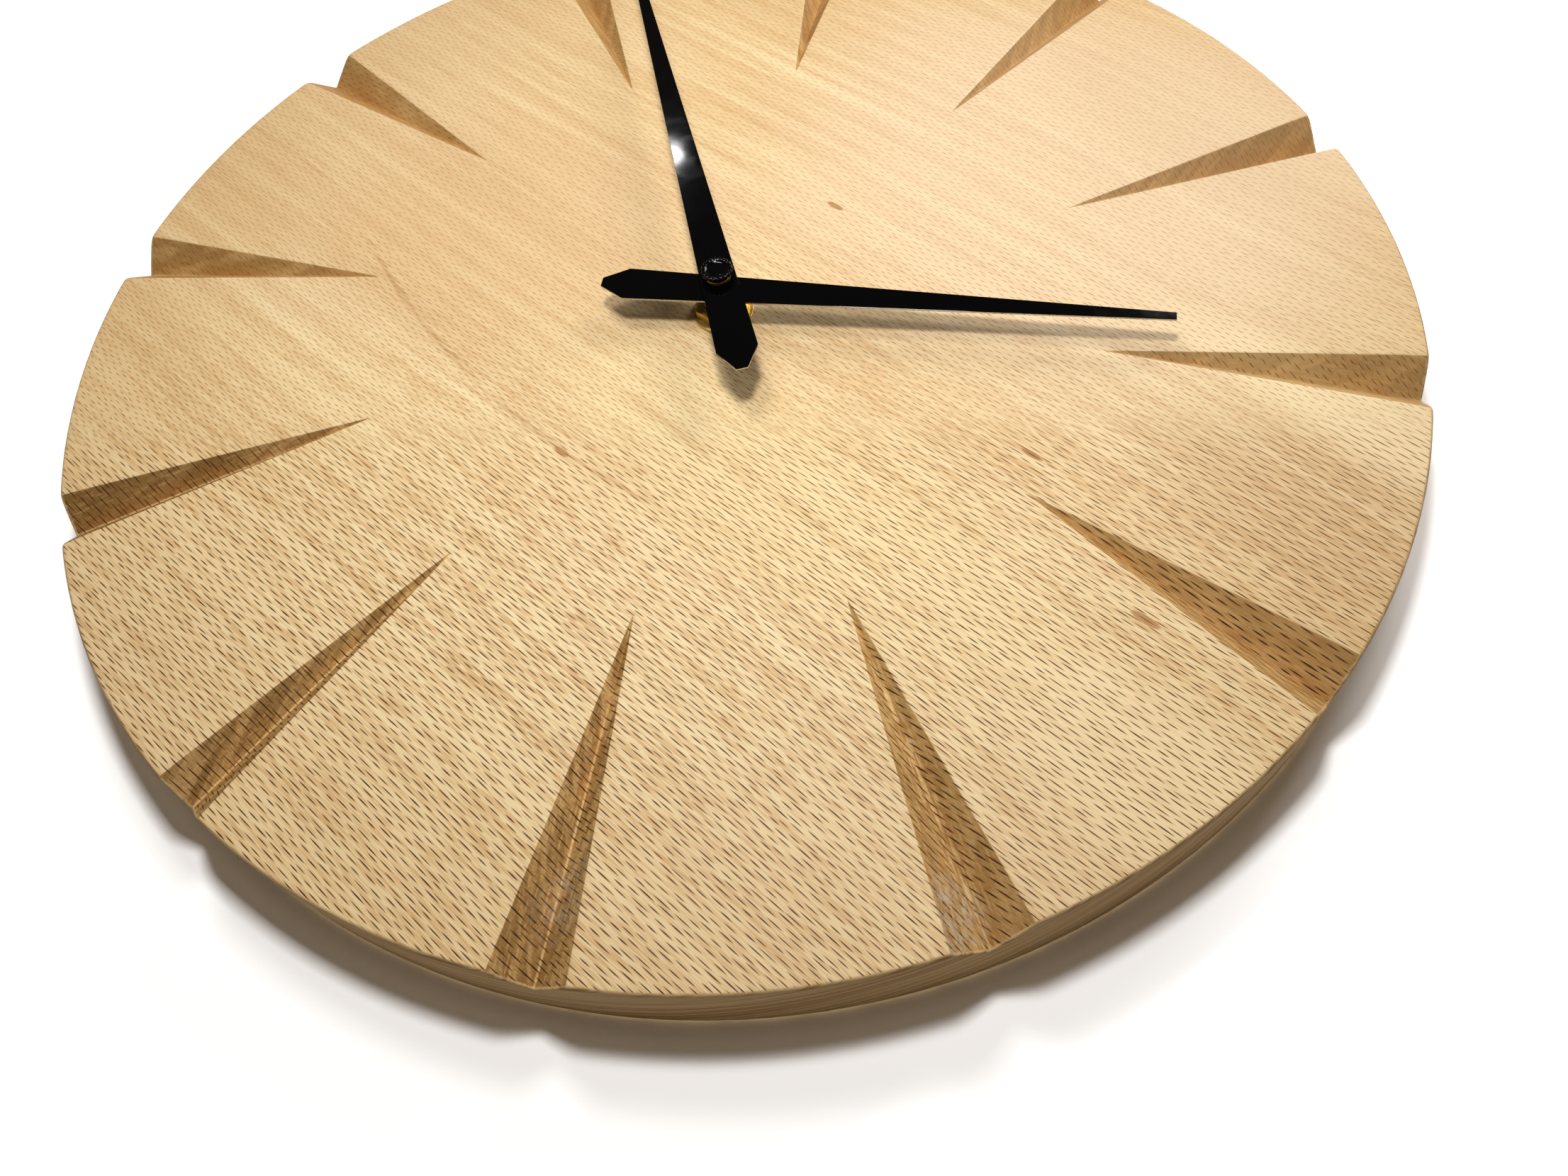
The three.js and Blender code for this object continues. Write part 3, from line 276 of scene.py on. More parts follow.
def beech():
    """Steamed beech, cut so that its growth layers lie at a small angle to the face and its rays end
    there. The layers follow y + 0.35 z, so they show as broad bands on the face and as narrow ones
    across the grooves. The grain shows clearer to the lower right: clear is 0.5 + 0.004 x - 0.005 z,
    held between 0.3 and 1."""
    wood = Finish("oiled_beech", {"Specular IOR Level": 0.3})
    x, y, z = wood.place()
    radius = (x * x + z * z) ** 0.5
    wander = (wood.noise(x / 190, y / 60, z / 80, 1.0) - 0.5) * 9
    wander = wander + wood.noise(x / 50, y / 30, z / 14, 1.0) * 0.6
    across = z + wander
    layers = y + across * 0.35
    rim = radius.step(149.3, 149.8)
    clear = (0.5 + x * 0.004 - z * 0.005).most(0.3).least(1.0)

    # The wood's tones, from the growth layers down to single fibres, then paler and browner places, and a
    # pale pink painted sheen above the hub.
    growth = wood.noise(x / 150, layers / 1.5, 0.0, 3.0, 0.6)
    grain = wood.noise(x / 180, y / 40, across / 5.5, 2.0, 0.6)
    broad = wood.noise(x / 240, y / 30, across / 30, 2.0)
    patch = wood.noise(x / 120 + 7, y / 30, across / 55 + 3, 1.0)
    fibre = wood.noise(x / 8, y / 0.6, across / 0.32, 2.0, 0.7)
    streak = wood.noise(x / 55, y / 2.5, across / 1.2, 3.0, 0.6)
    brown = spot(x, across, 146, 30, 66, 30) * (streak.step(0.36, 0.62) * 0.5 + 0.15)
    pale = (spot(x, across, 126, 58, 60, 13) * 0.6).most(spot(x, across, 132, -34, 40, 20) * 0.5)
    colour = wood.mix(growth.step(0.3, 0.7), rgb(228, 189, 133), rgb(248, 219, 166))
    colour = wood.lay(
        colour,
        (grain.step(0.5, 0.7) * 0.4, 208, 164, 108),
        (grain.step(0.46, 0.3) * 0.45, 255, 232, 180),
        (broad.step(0.42, 0.66) * 0.45, 224, 182, 130),
        (patch.step(0.45, 0.75) * 0.5, 244, 213, 173),
        (streak.step(0.42, 0.75) * 0.5, 208, 164, 106),
        (fibre.step(0.42, 0.6) * clear * 0.8, 255, 234, 184),
        (fibre.step(0.46, 0.34) * clear * 0.45, 210, 164, 106),
        (radius.step(80, 150) * 0.3, 214, 172, 110),
        (spot(x, across, 45, -30, 80, 30) * 0.25, 250, 224, 162),
        # Painted sheen: a pale pink patch above the hub, towards 12, where the lamp above shows in the oiled
        # face.
        (spot(x, across, 35, 80, 90, 75) * 0.5, 244, 216, 182),
        (spot(x, across, -60, -8, 62, 50) * 0.45, 222, 182, 130),
        (brown, 204, 162, 108),
        (pale, 254, 230, 180),
        (spot(x, across, 50, 118, 50, 36) * 0.35, 226, 192, 148))

    # A fine brown line in a shallow curve, and four small brown marks.
    curve = (x + 5) * (x + 5) * 0.0022 - 50.2
    stain = abs(z - curve - (streak - 0.5) * 3).step(1.1, 0.1) * abs(x + 30).step(70, 40)
    stain = stain * streak.step(0.3, 0.6) * 0.35
    for mark in ((-1.5, 40.9, 3, 0.9), (116, -9.2, 4, 1.1), (77.5, 9.2, 3.2, 0.9), (-0.5, -50.4, 2.8, 0.9)):
        stain = stain.most(spot(x, z, *mark).step(0.0, 0.8) * 0.75)

    # The ray flecks: long ones to the lower right, finer ones elsewhere, each with a brown fringe.
    near, near_fringe = flecks(wood, x, across, 5.2, 0.88, 1.0)
    fine, fine_fringe = flecks(wood, x, across, 3.9, 0.7, 0.66)
    coarse = clear.step(0.68, 0.76)
    crisp = (clear * 0.7 + 0.3) * (1 - rim)
    rays = (fine + (near - fine) * coarse) * crisp
    fringe = (fine_fringe + (near_fringe - fine_fringe) * coarse) * crisp
    colour = wood.lay(
        colour,
        (stain, 170, 110, 46),
        (fringe * (coarse * 0.2 + 0.4), 200, 142, 74),
        (rays, 60, 24, 0))

    # The grooves' flanks are duller than the face, because they cut the fibres: a tint multiplies the
    # colour. It has bands where they cross the layers, marks of the cutter, and a pale torn or polished
    # line at the keel. It also holds painted light and shade: lighter on the flanks at the top right, darker
    # towards the bottom, and darker still at the lower left.
    keel = wood.mark("keel")
    flank = wood.mark("groove").step(0.98, 1.1) * (1 - rim)
    turned_by = wood.math("ARCTAN2", x, z)
    reach = keel / (radius * 0.109 - 8.8)
    bands = wood.noise(x / 9, layers / 1.4, radius / 26, 1.0)
    hatch = wood.noise(radius / 0.5, keel / 5 + turned_by * 9, y / 2.5, 2.0)
    drag = wood.noise(radius / 5, keel / 0.4, turned_by * 9, 4.0, 0.65)
    warm = reach.step(0.6, 0.1) * wood.noise(radius / 18, turned_by * 7, keel / 4, 2.0).step(0.35, 0.7)
    end_grain = (abs(z) / radius).step(0.2, 0.9)
    # Painted shade: the end-grain tint darkens towards the bottom.
    end_grain_and_shade_tint = wood.mix(z.step(40, -60), rgb(192, 172, 136), rgb(170, 149, 113))
    tint = wood.lay(
        wood.mix(end_grain, rgb(208, 188, 152), end_grain_and_shade_tint),
        # Painted light on the flanks at the top right, and painted shade on those at the lower left.
        (z.step(10, 70) * x.step(-30, 10) * 0.8, 206, 192, 168),
        (bands.step(0.4, 0.65) * 0.7, 228, 212, 184),
        (x.step(-40, -60) * z.step(-80, -100) * 0.7, 152, 130, 88),
        (hatch.step(0.5, 0.8) * 0.15, 150, 122, 84),
        (drag.step(0.5, 0.68) * clear * 0.6, 246, 226, 192),
        (warm * 0.4, 206, 164, 104))
    torn = wood.noise(radius / 5, keel / 0.45, turned_by * 11, 3.0).step(0.45, 0.6)
    torn = torn * keel.step(2.2, 0.4) * x.step(74, 90) * z.step(-36, -50)
    bright = keel.step(0.36, 0.16) * z.step(-60, -80) * radius.step(88, 120)
    tint = wood.mix(bright.most(torn) * 0.4, tint, (1.3, 1.32, 1.25))
    multiplied = {"data_type": "RGBA", "blend_type": "MULTIPLY"}
    colour = wood.node("Mix", multiplied, {0: flank, 6: colour, 7: tint}, 2)
    fuzz = wood.noise(x / 2.4, z / 2.4, y / 0.8, 5.0, 0.75).step(0.42, 0.68)
    fuzz = fuzz * spot(x, z, 121, -76, 9, 8).most(spot(x, z, 70, -112, 7, 16) * 0.5) * flank
    colour = wood.lay(colour, (fuzz * 0.7, 216, 202, 178))

    # The rim, where the layers show as lines.
    lines = wood.noise(x / 70, layers / 1.1, z / 90, 4.0, 0.75)
    side = wood.mix(lines.step(0.42, 0.6), rgb(226, 188, 132), rgb(178, 136, 84))
    wood.feed({"Base Color": wood.mix(rim, colour, side),
               "Roughness": 0.5 + fibre * 0.1 + rim * 0.2 + flank * 0.15})
    wood.relief(fibre * 0.02 - rays * 0.008 + (hatch - 0.5) * flank * 0.05 + fuzz * 0.06)
    return wood.material


def board_rows():
    """The board's skin, one row of points after another from the front of the bush's hole out over the
    face, down the rim, in over the back and the pocket, and up the hole again. Places round a sector
    run from 0 in a groove's middle over 1 at its edge to 2 halfway to the next groove, and back. Gives
    the points and two marks: 1 plus the groove's depth before its edge is rounded, and the distance to
    its middle."""
    flank = [0, 0.02, 0.06, 0.15, 0.32, 0.5, 0.66, 0.79, 0.88, 0.94, 0.975]
    land = [1, 1.008, 1.022, 1.045, 1.08, 1.13, 1.2, 1.29, 1.4, 1.53, 1.68, 1.84, 2]
    half = np.array(flank + land)
    place = np.tile(np.concatenate([half, half[-2:0:-1]]), 12)
    side = np.tile(np.concatenate([np.ones(len(half)), -np.ones(len(half) - 2)]), 12)
    hour = np.repeat(np.arange(12), 2 * len(half) - 2) + (side < 0)
    middle = hour * np.pi / 6
    mouth_shift, point_shift, before, after, start = groove_cuts[hour % 12].T
    fall = groove_depth_at_rim / (board_radius - start)  # depth gained per millimetre outwards
    slope = groove_depth_at_rim / np.where(side < 0, before, after)  # depth lost per millimetre sideways
    easing = mouth_easing + (front_easing - mouth_easing) * smooth(0.8, 1, place)

    def mouth(radius):
        """Half angle of a groove's mouth, from r (fall cos a - slope sin a) = start fall. Inside the
        grooves' start it widens again, only to spread the columns."""
        reach = start * fall / (np.maximum(radius, start) * np.hypot(fall, slope))
        spread = np.radians(0.3 + 5.6 * np.clip((start - radius) / 80, 0, 1))
        return np.maximum(np.arccos(reach) - np.arctan2(slope, fall), spread)

    def ring(radius, height=None, outline=None):
        """One row. Without a height it lies on the face, lowered by (d + sqrt(d^2 + e^2)) / 2, where
        the depth d is (a - start) fall - |b| slope, a and b being the distances along and across the
        groove, |b| eased by 0.12 at the keel, and e rounds the groove's edge. outline gives the final
        radius from the direction, for the pocket."""
        edge = mouth(radius)
        off = np.where(place < 1, edge * place, edge + (np.pi / 12 - edge) * (place - 1))
        direction = middle + side * off
        mark = [0 * off, 0 * off]
        if height is None:
            across = np.hypot(radius * np.sin(off), 0.12)
            depth = (radius * np.cos(off) - start) * fall - across * slope
            rounding = 0.16 + 0.3 * smooth(143, 150, radius)
            height = board_thickness - (depth + np.hypot(depth, rounding)) / 2
            mark = [1 + np.maximum(depth, -1), across]
        if outline is not None:
            radius = outline(direction)
        else:
            out = np.clip((radius - start) / (board_radius - start), 0, 1)
            shift = point_shift + (mouth_shift - point_shift) * out
            shift = shift * smooth(2, 1, place) * smooth(20, 80, radius)
            direction = direction + shift / np.maximum(radius, 20)
        return np.concatenate([turn(radius, direction, height + 0 * direction), np.stack(mark, -1)], -1)

    def pocket(grown):
        """Distance to a square with round corners: half / cos on its sides, and on a corner the root of
        p^2 - 2 p k (|c| + |s|) + 2 k^2 - corner^2 = 0, k being the corner's centre."""
        def outline(direction):
            c, s = np.abs(np.cos(direction)), np.abs(np.sin(direction))
            k = pocket_half - pocket_corner
            flat = pocket_half / np.maximum(c, s)
            b = k * (c + s)
            arc = b + np.sqrt(np.maximum(b * b - 2 * k * k + pocket_corner ** 2, 0))
            return np.where(flat * np.minimum(c, s) > k, arc, flat) + grown
        return outline

    plain = groove_start - 6  # up to here the face is flat and its rows lie wide apart
    rows = [ring(bush_hole, board_thickness - 0.2)]
    for radius in np.linspace(bush_hole + 0.2, plain, 6)[:-1]:
        rows.append(ring(radius))
    for share in np.linspace(0, 1, 54)[:-1]:
        rows.append(ring(plain + (board_radius - easing - plain) * share))
    for bend in np.radians(np.linspace(0, 90, 7)):
        row = ring(board_radius - easing * (1 - np.sin(bend)))
        row[:, 2] -= easing * (1 - np.cos(bend))
        rows.append(row)
    low = rows[-1][:, 2]
    for share in np.linspace(0, 1, 7)[1:]:
        rows.append(ring(board_radius, low + (back_easing - low) * share))
    for bend in np.radians(np.linspace(0, 90, 11))[1:]:
        inwards = back_easing * (1 - np.cos(bend))
        rows.append(ring(board_radius - inwards, back_easing * (1 - np.sin(bend))))
    for radius in (115.1, 81.2):
        rows.append(ring(radius, 0))
    for height, grown in ((0, 0.4), (0.12, 0.12), (0.4, 0), (8, 0),
                          (pocket_floor - 0.5, 0), (pocket_floor, -0.5)):
        rows.append(ring(36, height, pocket(grown)))
    for radius in (24, 12, bush_hole):
        rows.append(ring(radius, pocket_floor))
    rows.append(rows[0])
    grid = np.array(rows)
    grid = np.concatenate([grid, grid[:, :1]], 1)
    return grid[..., :3], {"groove": grid[..., 3], "keel": grid[..., 4]}


def rounded(width, height, corner):
    """Outline of a rectangle with round corners, about its middle: corner centres plus a turned radius."""
    angle = np.radians(np.linspace(0, 90, 5))[None, :] + np.radians(np.arange(4) * 90)[:, None]
    sides = np.array([[1, 1], [-1, 1], [-1, -1], [1, -1]])[:, None, :]
    centre = sides * np.array([width / 2 - corner, height / 2 - corner])
    outline = (centre + corner * np.stack([np.cos(angle), np.sin(angle)], -1)).reshape(-1, 2)
    return np.concatenate([outline, outline[:1]])


def slab(y, width, height, corner, levels):
    """A rounded rectangle centred at (0, y), carried up through levels (z, growth) and closed to its
    middle at both ends."""
    rings = []
    for z, grown in levels:
        outline = rounded(width + 2 * grown, height + 2 * grown, corner + grown) + (0, y)
        rings.append(np.column_stack([outline, np.full(len(outline), z)]))
    ends = [np.broadcast_to([0, y, levels[i][0]], rings[0].shape) for i in (0, -1)]
    return np.array([ends[0], *rings, ends[1]])


seat_levels = ((-1, 0.25), (0, 0.25), (0.25, 0), (2.5, 0))
slot_levels = ((-1, 0.3), (0, 0.3), (0.3, 0), (8.7, 0), (9, -0.3))
hanger_seat = solid("seat_cutter", slab(hanger_height, 45.4, 9.4, 2.7, seat_levels))
nail_slot = solid("slot_cutter", slab(95.05, 26, 19.1, 4, slot_levels))
skin, groove_marks = board_rows()
board = solid("beech_board", skin, 40, (hanger_seat, nail_slot), groove_marks)
fit(board, beech(), "clock_body", "dial_board")


# The hands: flat blanks stamped from sheet that was lacquered gloss black, which leaves bare metal at the
# cut edges, on the minute hand only at its tail. Each tail is cut to a blunt point, and each hand is
# riveted on a brass hub.
hand_thickness = 0.4
hand_shoulder, hand_tail, hand_tip = (-21.5, 4.55), (-27.2, 1.25), 1.02
edge_rounding = 0.05


def hand_grid(angle, length, height):
    """A hand's section, a plate with eased edges, carried from its tail to its tip: half width runs in
    straight lines from tail to shoulder to tip. Gives the points and a mark that is 1 on the cut edges."""
    bends = np.array([hand_tail[0], hand_shoulder[0], length])
    along = np.concatenate([np.array([0, 0, edge_rounding, 2, 5.2]) + bends[0],
                            bends[1] + np.array([0, 0.5]),
                            np.linspace(bends[1] + 8, length - 4, 12),
                            length - np.array([edge_rounding, 0, 0])])
    half = np.interp(along, bends, [hand_tail[1], hand_shoulder[1], hand_tip])
    inset = np.zeros(len(along))
    inset[[1, -2]] = edge_rounding
    closed = np.ones(len(along))
    closed[[0, -1]] = 0
    e, t = edge_rounding, hand_thickness
    level = np.array([0, 0, 0.02, e, t / 2, t - e, t - 0.3 * e, t])
    back = np.array([e, 0.3 * e, 0.02, 0, 0, 0, 0.3 * e, e])
    bare = np.array([0, 0.4, 1, 1, 1, 1, 0.3, 0])
    across = np.concatenate([[0], 1 + 0 * back, [0], -1 + 0 * back, [0]])
    reach = np.concatenate([[0], back, [0], back[::-1], [0]])
    rise = np.concatenate([[0], level, [t], level[::-1], [0]])
    cut = np.concatenate([[0], bare, [0], bare[::-1], [0]])
    v = across * (half[:, None] - inset[:, None] - reach) * closed[:, None]
    z = height + inset[:, None] + (t - 2 * inset[:, None]) * (rise / t)
    z = np.where(closed[:, None] > 0, z, height + t / 2)
    u = along[:, None] + 0 * v
    a = np.radians(angle)
    points = np.stack([u * np.sin(a) + v * np.cos(a), u * np.cos(a) - v * np.sin(a), z], -1)
    mark = np.maximum(cut + 0 * u, ((inset > 0) | (closed < 1))[:, None] * 1.0)
    return points, mark


def lacquer():
    """Gloss black lacquer with a faint ripple, and bare grey metal where the cut mark says so."""
    paint = Finish("gloss_black_lacquer", {"Specular IOR Level": 0.25})
    x, y, z = paint.place()
    cut = paint.mark("cut").step(0.35, 0.6)
    torn = paint.noise(x / 0.5, y / 0.15, z / 0.5, 2.0)
    bare = cut * torn.step(0.25, 0.45)
    smear = paint.noise(x / 3, y, z / 3, 3.0, 0.6)
    paint.feed({"Base Color": paint.mix(bare, rgb(3, 3, 4), rgb(214, 208, 200)), "Metallic": bare * 0.8,
                "Roughness": 0.05 + smear.step(0.4, 0.8) * 0.05 + bare * 0.25})
    paint.relief(paint.noise(x / 9, y, z / 9, 1.0) * 0.003 + bare * torn * 0.02)
    return paint.material


lacquer_finish = lacquer()
# Each hand's angle clockwise from 12, its length from the axis and its height above the wall.
for name, angle, length, height in (("hour_hand", 57.8, 97.8, 26.6), ("minute_hand", 306.2, 120, 30.3)):
    points, mark = hand_grid(angle, length, height)
    if name == "minute_hand":
        tail_rows = 4  # the only ones that stay bare
        mark[tail_rows:] = 0
    hand = solid("stamped_" + name, points, 20, (), {"cut": mark})
    fit(hand, lacquer_finish, name + "_set", name)


# The hub on the dial: a brass bush of the movement comes through the board and is held by a brass washer
# and a hexagonal nut. The hands' brass hubs are turned pieces, riveted over on top of each hand.
def eased(corners, radius, steps=4, closed=False):
    """Rounds a profile's corners: (1-t)^2 (p + a c) + 2 t (1-t) p + t^2 (p + b c), a and b being unit
    vectors to the corners before and after p, and c the radius or at most 0.45 of the shorter side."""
    p = np.array(corners, float)
    before, after = np.roll(p, 1, 0) - p, np.roll(p, -1, 0) - p
    size_before = np.linalg.norm(before, axis=1)[:, None]
    size_after = np.linalg.norm(after, axis=1)[:, None]
    c = np.minimum(radius, 0.45 * np.minimum(size_before, size_after))
    start, stop = p + before / size_before * c, p + after / size_after * c
    t = np.linspace(0, 1, steps)[None, :, None]
    curve = (1 - t) ** 2 * start[:, None] + 2 * t * (1 - t) * p[:, None] + t ** 2 * stop[:, None]
    if closed:
        curve = curve.reshape(-1, 2)
        return np.concatenate([curve, curve[:1]])
    return np.concatenate([p[:1], curve[1:-1].reshape(-1, 2), p[-1:]])


def turned(profile, around=96):
    """A profile of (radius, height above the wall) turned about the axis of the hands."""
    profile = np.array(profile)
    return turn(profile[:, :1], np.linspace(0, 2 * np.pi, around + 1), profile[:, 1:])


def nut_grid(across_flats, bore, low, high):
    """A hexagonal nut: half the width across flats / cos(angle to the nearest flat), its top corners
    cut by a cone of 30 degrees."""
    angle = np.linspace(0, 2 * np.pi, 121)
    flat = across_flats / 2
    hexagon = flat / np.cos((angle + np.pi / 6) % (np.pi / 3) - np.pi / 6)
    cone = np.tan(np.radians(30)) * (hexagon - flat * 0.97)
    rows = [turn(bore, angle, low + 0 * angle), turn(hexagon - 0.1, angle, low + 0 * angle),
            turn(hexagon, angle, low + 0.1 + 0 * angle), turn(hexagon, angle, high - cone),
            turn(flat * 0.95, angle, high + 0 * angle), turn(bore + 0.3, angle, high + 0 * angle),
            turn(bore, angle, high - 0.3 + 0 * angle), turn(bore, angle, low + 0 * angle)]
    return np.array(rows)


def brass():
    """Turned brass: fine rings about the axis from the tool, slightly dulled in patches."""
    metal = Finish("turned_brass", {"Metallic": 1.0})
    x, y, z = metal.place()
    rings = metal.noise(((x * x + z * z) ** 0.5) / 0.09, y / 0.12, 0.0, 2.0)
    dull = metal.noise(x / 2.2, y / 2.2, z / 2.2, 3.0)
    metal.feed({"Base Color": metal.mix(dull.step(0.4, 0.7), rgb(236, 202, 112), rgb(206, 166, 84)),
                "Roughness": 0.24 + rings * 0.14 + dull * 0.1})
    metal.relief(rings * 0.006)
    return metal.material


brass_finish = brass()
washer = eased([(4.1, 20.1), (6.85, 20.1), (6.85, 20.7), (4.1, 20.7)], 0.12, closed=True)
hour_hub = eased([(2.6, 24.8), (4, 24.8), (4, 26.5), (3, 26.56), (3, 27.5), (2.6, 27.5)], 0.15, closed=True)
minute_hub = eased([(1.7, 28.2), (3.5, 28.2), (3.5, 30.2), (2.8, 30.26), (2.8, 31.4), (1.7, 31.4)],
                   0.18, closed=True)
for name, grid, body, node in (("dial_washer", turned(washer), "clock_body", "brass_washer"),
                               ("dial_nut", nut_grid(11, 4.05, 20.8, 23), "clock_body", "fixing_nut"),
                               ("hour_hub", turned(hour_hub), "hour_hand_set", "hour_hand_collet"),
                               ("minute_hub", turned(minute_hub), "minute_hand_set", "minute_hand_collet")):
    fit(solid(name, grid), brass_finish, body, node)


# The cap nut: a small round nut of black lacquered metal with a ridged edge and a dished top. It is screwed
# on the end of the minute shaft and keeps the minute hand on it.
def cap_grid():
    """A turned cap with 22 ridges: radius less 0.13 (1 - cos(22 angle)), fading out on the top."""
    angle = np.linspace(0, 2 * np.pi, 22 * 10 + 1)
    profile = eased([(0, 31.5), (2.7, 31.5), (3, 31.9), (3.525, 32.2), (3.525, 33.2), (2.7, 33.2),
                     (2.1, 32.85), (0, 32.85)], 0.5, 8)
    rib = smooth(2.3, 3.1, profile[:, :1]) * 0.13 * (1 - np.cos(22 * angle))
    return turn(profile[:, :1] - rib, angle, profile[:, 1:] + 0 * angle)


cap = solid("ridged_cap_nut", cap_grid(), 60)
fit(cap, lacquer_finish, "minute_hand_set", "cap_nut")


# What holds the movement in the board: the brass bush, threaded where it stands out of the dial, with a
# flange inside the case, and a soft rubber washer between the case and the bottom of the pocket.
def threaded(radius, depth, pitch, low, high, around):
    """A thread's rows: radius less depth times a triangle wave of height / pitch - angle / full turn."""
    angle = np.linspace(0, 2 * np.pi, around + 1)
    height = np.linspace(low, high, int(abs(high - low) / pitch * 10) + 1)[:, None]
    wave = np.abs(2 * ((height / pitch - angle / (2 * np.pi)) % 1) - 1)
    return turn(radius - depth * wave, angle, height)


def rubber():
    """Matt black rubber, dusty in places."""
    soft = Finish("black_rubber", {"Specular IOR Level": 0.3})
    x, y, z = soft.place()
    dust = soft.noise(x / 1.5, y / 1.5, z / 1.5, 4.0, 0.6)
    soft.feed({"Base Color": soft.mix(dust.step(0.5, 0.75), rgb(27, 27, 28), rgb(54, 53, 51)),
               "Roughness": 0.75 + dust * 0.2})
    soft.relief(dust * 0.03)
    return soft.material


bush_foot = [(2.6, 24.1), (2.6, 14.4), (5.9, 14.4), (6, 14.5), (6, 14.8), (5.9, 14.9), (4, 14.9), (4, 16.6)]
bush_end = [(3.75, 24.2), (2.7, 24.2), (2.6, 24.1)]
bush = np.concatenate([turned(bush_foot, 72), threaded(4, 0.28, 0.75, 16.7, 23.9, 72), turned(bush_end, 72)])
fit(solid("threaded_bush_piece", bush, 30), brass_finish, "clock_body", "threaded_bush")
ring = turned(eased([(4.15, 16.1), (9.5, 16.1), (9.5, 16.7), (4.15, 16.7)], 0.2, closed=True))
fit(solid("rubber_ring", ring), rubber(), "clock_body", "rubber_washer")


# The hanger: a pressed strip of zinc-plated steel with a row of teeth for the nail, sunk in the back of
# the board and held by two pan-head wood screws with cross recesses.
def softened(node, width, steps=2):
    """A copy of a CAD solid, its points joined, its flat faces made whole and its edges rounded."""
    crease = np.radians(32)
    source = bpy.data.objects[node]
    mesh = source.data.copy()
    mesh.transform(source.matrix_world)
    work = bmesh.new()
    work.from_mesh(mesh)
    bmesh.ops.remove_doubles(work, verts=work.verts, dist=1e-6)
    bmesh.ops.dissolve_limit(work, angle_limit=np.radians(1), verts=work.verts, edges=work.edges)
    work.to_mesh(mesh)
    work.free()
    made = bpy.data.objects.new(node + "_finished", mesh)
    bpy.context.scene.collection.objects.link(made)
    bevel = made.modifiers.new("easing", "BEVEL")
    bevel.width, bevel.segments, bevel.limit_method = width * 0.001, steps, "ANGLE"
    bevel.angle_limit = crease
    made.data.shade_smooth()
    made.data.set_sharp_from_angle(angle=crease)
    return made


def steel():
    """Zinc plating on steel: a faint spangle of flat grains, rubbed along the strip."""
    metal = Finish("zinc_plated_steel", {"Metallic": 1.0})
    x, y, z = metal.place()
    place = metal.node("CombineXYZ", {}, {0: x, 1: y, 2: z})
    grain = metal.node("TexVoronoi", {"feature": "F1"}, {"Vector": place, "Scale": 0.9}, "Color")
    grain = metal.node("SeparateXYZ", {}, {0: grain}, "X")
    rub = metal.noise(x / 6, y / 0.1, z / 0.08, 3.0, 0.6)
    metal.feed({"Base Color": metal.mix(grain * 0.5 + rub * 0.4, rgb(164, 166, 170), rgb(204, 206, 210)),
                "Roughness": 0.3 + rub * 0.15 + grain * 0.08})
    metal.relief(rub * 0.004)
    return metal.material


def screw_grid(x):
    """A pan-head screw, head to the wall: the head's surface lies 0.3 + 0.35 (r / 2.5)^3 from the wall,
    and 0.6 deeper in a cross |u| < 0.3 for |v| < 1.15. Then come the rim, the shank's thread and the
    point."""
    angle = np.linspace(0, 2 * np.pi, 97)
    r = np.array([0, 0.12, 0.22, 0.3, 0.38, 0.5, 0.7, 0.9, 1.1, 1.25, 1.4, 1.6, 1.9, 2.2, 2.4, 2.5])[:, None]
    u, v = np.abs(r * np.cos(angle)), np.abs(r * np.sin(angle))
    narrow, long = np.minimum(u, v), np.maximum(u, v)
    recess = smooth(0.36, 0.24, narrow) * smooth(1.4, 0.9, long)
    head = turn(r, angle, 0.3 + 0.35 * (r / 2.5) ** 3 + 0.6 * recess)
    rim = turned([(2.5, 1), (2.35, 1.2), (1.1, 1.3), (1.1, 2)])
    point = turned([(0.6, 9.2), (0.25, 9.9), (0, 10.3)])
    rows = [head, rim, threaded(1.1, 0.35, 0.9, 2, 8.3, 96), point]
    return np.concatenate(rows) + (x, hanger_height, 0)


steel_finish = steel()
fit(softened("sawtooth_hanger", 0.12), steel_finish, "clock_body", "sawtooth_hanger")
for side, x in (("left", -18), ("right", 18)):
    screw = solid("pan_head_screw_" + side, screw_grid(x), 30)
    fit(screw, steel_finish, "clock_body", "hanger_screw_" + side)


# The movement's case, its cover with the collar round the knob, and the setting knob: black mouldings with
# a fine spark-eroded skin and a few flow lines.
def plastic(name, dark, pale, rough):
    """A moulding: the fine grain of its mould, and flow lines that slowly change its colour and gloss."""
    moulded = Finish(name, {"Specular IOR Level": 0.4})
    x, y, z = moulded.place()
    grain = moulded.noise(x / 0.16, y / 0.16, z / 0.16, 2.0, 0.7)
    flow = moulded.noise(x / 14, y / 8, z / 5, 3.0, 0.6)
    moulded.feed({"Base Color": moulded.mix(flow.step(0.35, 0.75), dark, pale),
                  "Roughness": rough + flow * 0.14 + grain * 0.06})
    moulded.relief(grain * 0.02 + flow * 0.02)
    return moulded.material


black_finish = plastic("black_moulding", rgb(24, 25, 27), rgb(36, 37, 40), 0.42)
white_finish = plastic("natural_acetal", rgb(214, 210, 198), rgb(236, 233, 224), 0.34)
for node, width in (("movement_case", 0.2), ("movement_cover", 0.15)):
    fit(softened(node, width), black_finish, "clock_body", node)
fit(softened("setting_knob", 0.1), black_finish, "setting_knob_set", "setting_knob")


# The cell: a steel can in a printed foil jacket, whose edges are rolled over both ends, and its two spring
# contacts of plated steel. It lies level in the case's bay, plus end to 3 o'clock.
cell_up = -19.3
cell_out = 7.8  # from the wall


def along_x(profile, up, out, around=72):
    """A profile of (radius, x) turned about a level axis."""
    angle = np.linspace(0, 2 * np.pi, around + 1)
    r, x = profile[:, :1], profile[:, 1:]
    return np.stack(np.broadcast_arrays(x, up + r * np.sin(angle), out + r * np.cos(angle)), -1)


